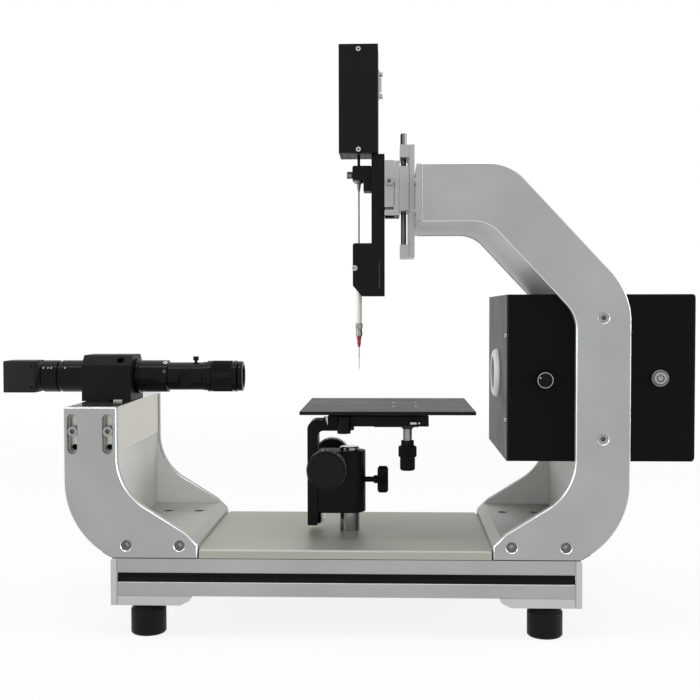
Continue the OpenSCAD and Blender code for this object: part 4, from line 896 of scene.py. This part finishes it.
def dress_stage_drive():
    """Saddle with its small fittings, and the bare tube over the Y drive ring."""
    cover_x = (35 * MM, 76 * MM)
    cover_y = -10 * MM
    cover_z = (172.3 * MM, 173.9 * MM)
    bm = welded("stage_saddle")
    ease(bm, 0.3 * MM)
    paint(bm, lambda middle: int(
        cover_x[0] < middle.x < cover_x[1] and middle.y < cover_y and cover_z[0] < middle.z < cover_z[1]
    ))
    stand_in("stage_saddle", bm, [FINISHES["black_anodised"], GREY_STEEL])

    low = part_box("stage_saddle")[0] / MM
    left, front = low.x, low.y
    gib_top, gib_depth = 183, 6
    plate = slab((67.3, front - 0.5, 176.7), (73, front + 1, 178.7), 0.2)
    pin = turned([(0, -1), (1.1, -1), (1.1, 0.4), (0.8, 0.7), (0, 0.8)], 20)
    sliver = wedge([(left - 2, gib_top), (left + 0.3, gib_top), (left + 0.3, 175.6)], gib_depth)
    fittings = [
        set_down(plate),
        set_down(pin, (75.2, front, 177.8), FRONT),
        set_down(sliver, (0, front + 0.4, 0)),
    ]
    add_piece("saddle_fittings", gather(fittings), "saddle", "bright_steel")
    gib = wedge(
        [(left - 3.2, gib_top), (left + 0.5, gib_top), (left + 0.5, 175.4), (left - 3.2, 179.6)], gib_depth,
    )
    add_piece("saddle_gib", set_down(gib, (0, front + 0.8, 0)), "saddle", "black_anodised")
    stop = turned([(0, -2), (1.3, -2), (1.3, 0), (2.2, 0), (2.2, 2.4), (1.6, 3), (0, 3)], 24)
    place = (16, front + 3.5, 174.2)
    add_piece("saddle_stop_screw", set_down(stop, place, DOWN), "saddle", "black_plastic")

    ring_top = 159.9 * MM
    bm = merged("y_drive_ring")
    paint(bm, lambda middle: int(middle.z > ring_top))
    stand_in("y_drive_ring", bm, [PLASTIC, SCREW_STEEL])


def dress_carriage():
    """The lip under the Y slide, bright in front and painted dark as shade in its pocket, runs clear of the
    spine.
    """
    run_gap = 0.2 * MM
    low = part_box("height_carriage")[0]
    lip_top = low.z + 5 * MM
    pocket_top = low.z + 2.6 * MM
    lip_x = low.x + 9 * MM
    lip_front = low.y + 0.5 * MM
    bm = welded("height_carriage")
    for corner in bm.verts:
        if corner.co.x < low.x + run_gap:
            corner.co.x += run_gap
    ease(bm, 0.3 * MM)
    for face in bm.faces:
        middle = face.calc_center_median()
        if middle.z < lip_top and middle.x < lip_x:
            if middle.y < lip_front and face.normal.y < -0.5:
                face.material_index = 1
            # The pocket's faces are painted dark: painted shade
            elif middle.z < pocket_top:
                face.material_index = 2
    stand_in("height_carriage", bm, [SLIDE, CUT_EDGE, SHADE_AND_PRINT])


def dress_dispenser():
    """Housing screws, a painted glint on the seat's groove, contacts of the data socket, and the needle's
    steel tube.
    """
    low, high = (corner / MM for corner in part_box("pump_housing"))
    middle_x = (low.x + high.x) / 2
    screws = [
        set_down(socket_head(radius=2.2, height=0.9, socket=1.0), (middle_x, y, z), (0, side, 0))
        for y, side in ((low.y, -1), (high.y, 1))
        for z in (low.z + 3.2, high.z - 4.6)
    ]
    add_piece("pump_housing_screws", gather(screws), "dispenser", "bright_steel", [BRIGHT, SHADE_AND_PRINT])

    low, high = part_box("dispenser_spine")
    # A thin lighter strip on the seat's front: a painted glint of its groove
    glint_x = high.x / MM - 4.6
    seat_z = low.z / MM
    seat_front = -15
    glint_low = (glint_x - 0.5, seat_front - 0.12, seat_z + 6.6)
    glint_high = (glint_x + 0.5, seat_front + 1, seat_z + 31)
    glint_strip = slab(glint_low, glint_high, 0.05)
    add_piece("seat_painted_glint", set_down(glint_strip), "dispenser", "black_plastic", [GLINT_GREY])

    low, high = (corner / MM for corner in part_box("data_socket"))
    middle_z = (low.z + high.z) / 2
    insert = slab((low.x + 1, -3.3, middle_z - 5.6), (low.x + 2.2, 3.3, middle_z + 5.6), 0.2)
    add_piece("data_socket_insert", set_down(insert), "dispenser", "black_plastic")
    pin = [(0, 0), (0.35, 0), (0.35, 0.7), (0.2, 0.9), (0, 0.9)]
    pin_pitch = 2
    pins = [
        set_down(turned(pin, 12), (low.x + 2, y, middle_z + (step - (count - 1) / 2) * pin_pitch), RIGHT)
        for y, count in ((-1.2, 5), (1.2, 4))
        for step in range(count)
    ]
    add_piece("data_socket_pins", gather(pins), "dispenser", "bright_steel", [PIN_GOLD])

    low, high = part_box("needle")
    centre = (low + high) / 2
    tube_r = 0.7 * MM
    hub_top = high.z - 2 * MM
    bm = merged("needle")
    paint(bm, lambda middle: int(off_line(middle, centre, Z) < tube_r and middle.z < hub_top))
    stand_in("needle", bm, [FINISHES["needle_red"], BRIGHT])


# Studio and camera
def make_floor():
    """A pale floor that fades to white away from the part."""
    bm = bmesh.new()
    bmesh.ops.create_grid(bm, x_segments=1, y_segments=1, size=FLOOR_SIZE / 2)
    bmesh.ops.translate(bm, vec=(0, 0, -FLOOR_DROP), verts=bm.verts)
    mesh = bpy.data.meshes.new("floor")
    bm.to_mesh(mesh)
    bm.free()
    finish = Finish("pale_floor")
    away = finish.add("VectorMath", {"operation": "LENGTH"}, {0: finish.place()}, "Value")
    share = finish.add(
        "MapRange", {"interpolation_type": "SMOOTHSTEP"},
        {"Value": away, "From Min": FLOOR_NEAR, "From Max": FLOOR_FAR, "To Min": FLOOR_GLOW, "To Max": 1},
    )
    lit = finish.add("BsdfDiffuse", {}, {"Color": FLOOR_COLOUR})
    glow = finish.add("Emission", {}, {"Color": (1, 1, 1, 1), "Strength": 1})
    mixed = finish.add("MixShader", {}, {0: finish.seen() * share, 1: lit, 2: glow})
    finish.add("OutputMaterial", {}, {"Surface": mixed})
    mesh.materials.append(finish.material)
    floor = bpy.data.objects.new("floor", mesh)
    bpy.context.scene.collection.objects.link(floor)


def make_world():
    """White where it shows or is mirrored, and a softer light elsewhere."""
    world = bpy.data.worlds.new("studio")
    world.use_nodes = True
    bpy.context.scene.world = world
    sheet = Sheet(world.node_tree)
    soft = sheet.add("Background", {}, {"Color": AMBIENT_COLOUR, "Strength": AMBIENT})
    white = sheet.add("Background", {}, {"Color": (1, 1, 1, 1), "Strength": 1})
    mixed = sheet.add("MixShader", {}, {0: sheet.seen(), 1: soft, 2: white})
    sheet.add("OutputWorld", {}, {"Surface": mixed})


def make_lamp(name, place, target, size, power):
    """A soft box that points at a target."""
    lamp = bpy.data.lights.new(name, "AREA")
    lamp.shape = "RECTANGLE"
    lamp.size, lamp.size_y = size
    lamp.energy = power
    holder = bpy.data.objects.new(name, lamp)
    bpy.context.scene.collection.objects.link(holder)
    holder.location = place
    holder.rotation_mode = "QUATERNION"
    holder.rotation_quaternion = (Vector(target) - Vector(place)).to_track_quat("-Z", "Y")


def make_camera():
    """The camera, where it was found to stand for the photograph."""
    lens = bpy.data.cameras.new("camera")
    lens.sensor_width = SENSOR
    lens.lens = LENS
    camera = bpy.data.objects.new("camera", lens)
    bpy.context.scene.collection.objects.link(camera)
    camera.matrix_world = (
        Matrix.Translation(EYE)
        @ Matrix.Rotation(EYE_TURN, 4, "Z")
        @ Matrix.Rotation(math.pi / 2 - EYE_DIP, 4, "X")
        @ Matrix.Rotation(EYE_TILT, 4, "Z")
    )
    bpy.context.scene.camera = camera


make_camera()
make_floor()
make_world()
for lamp in LAMPS:
    make_lamp(*lamp)
bpy.context.scene.view_settings.view_transform = "Standard"

dress_solids()
dress_plates()
dress_profile()
dress_screws()
dress_light_box()
dress_diffuser()
dress_controls()
dress_mount()
dress_lens()
dress_stage_plate()
dress_focus_knobs()
dress_stage_drive()
dress_carriage()
dress_dispenser()
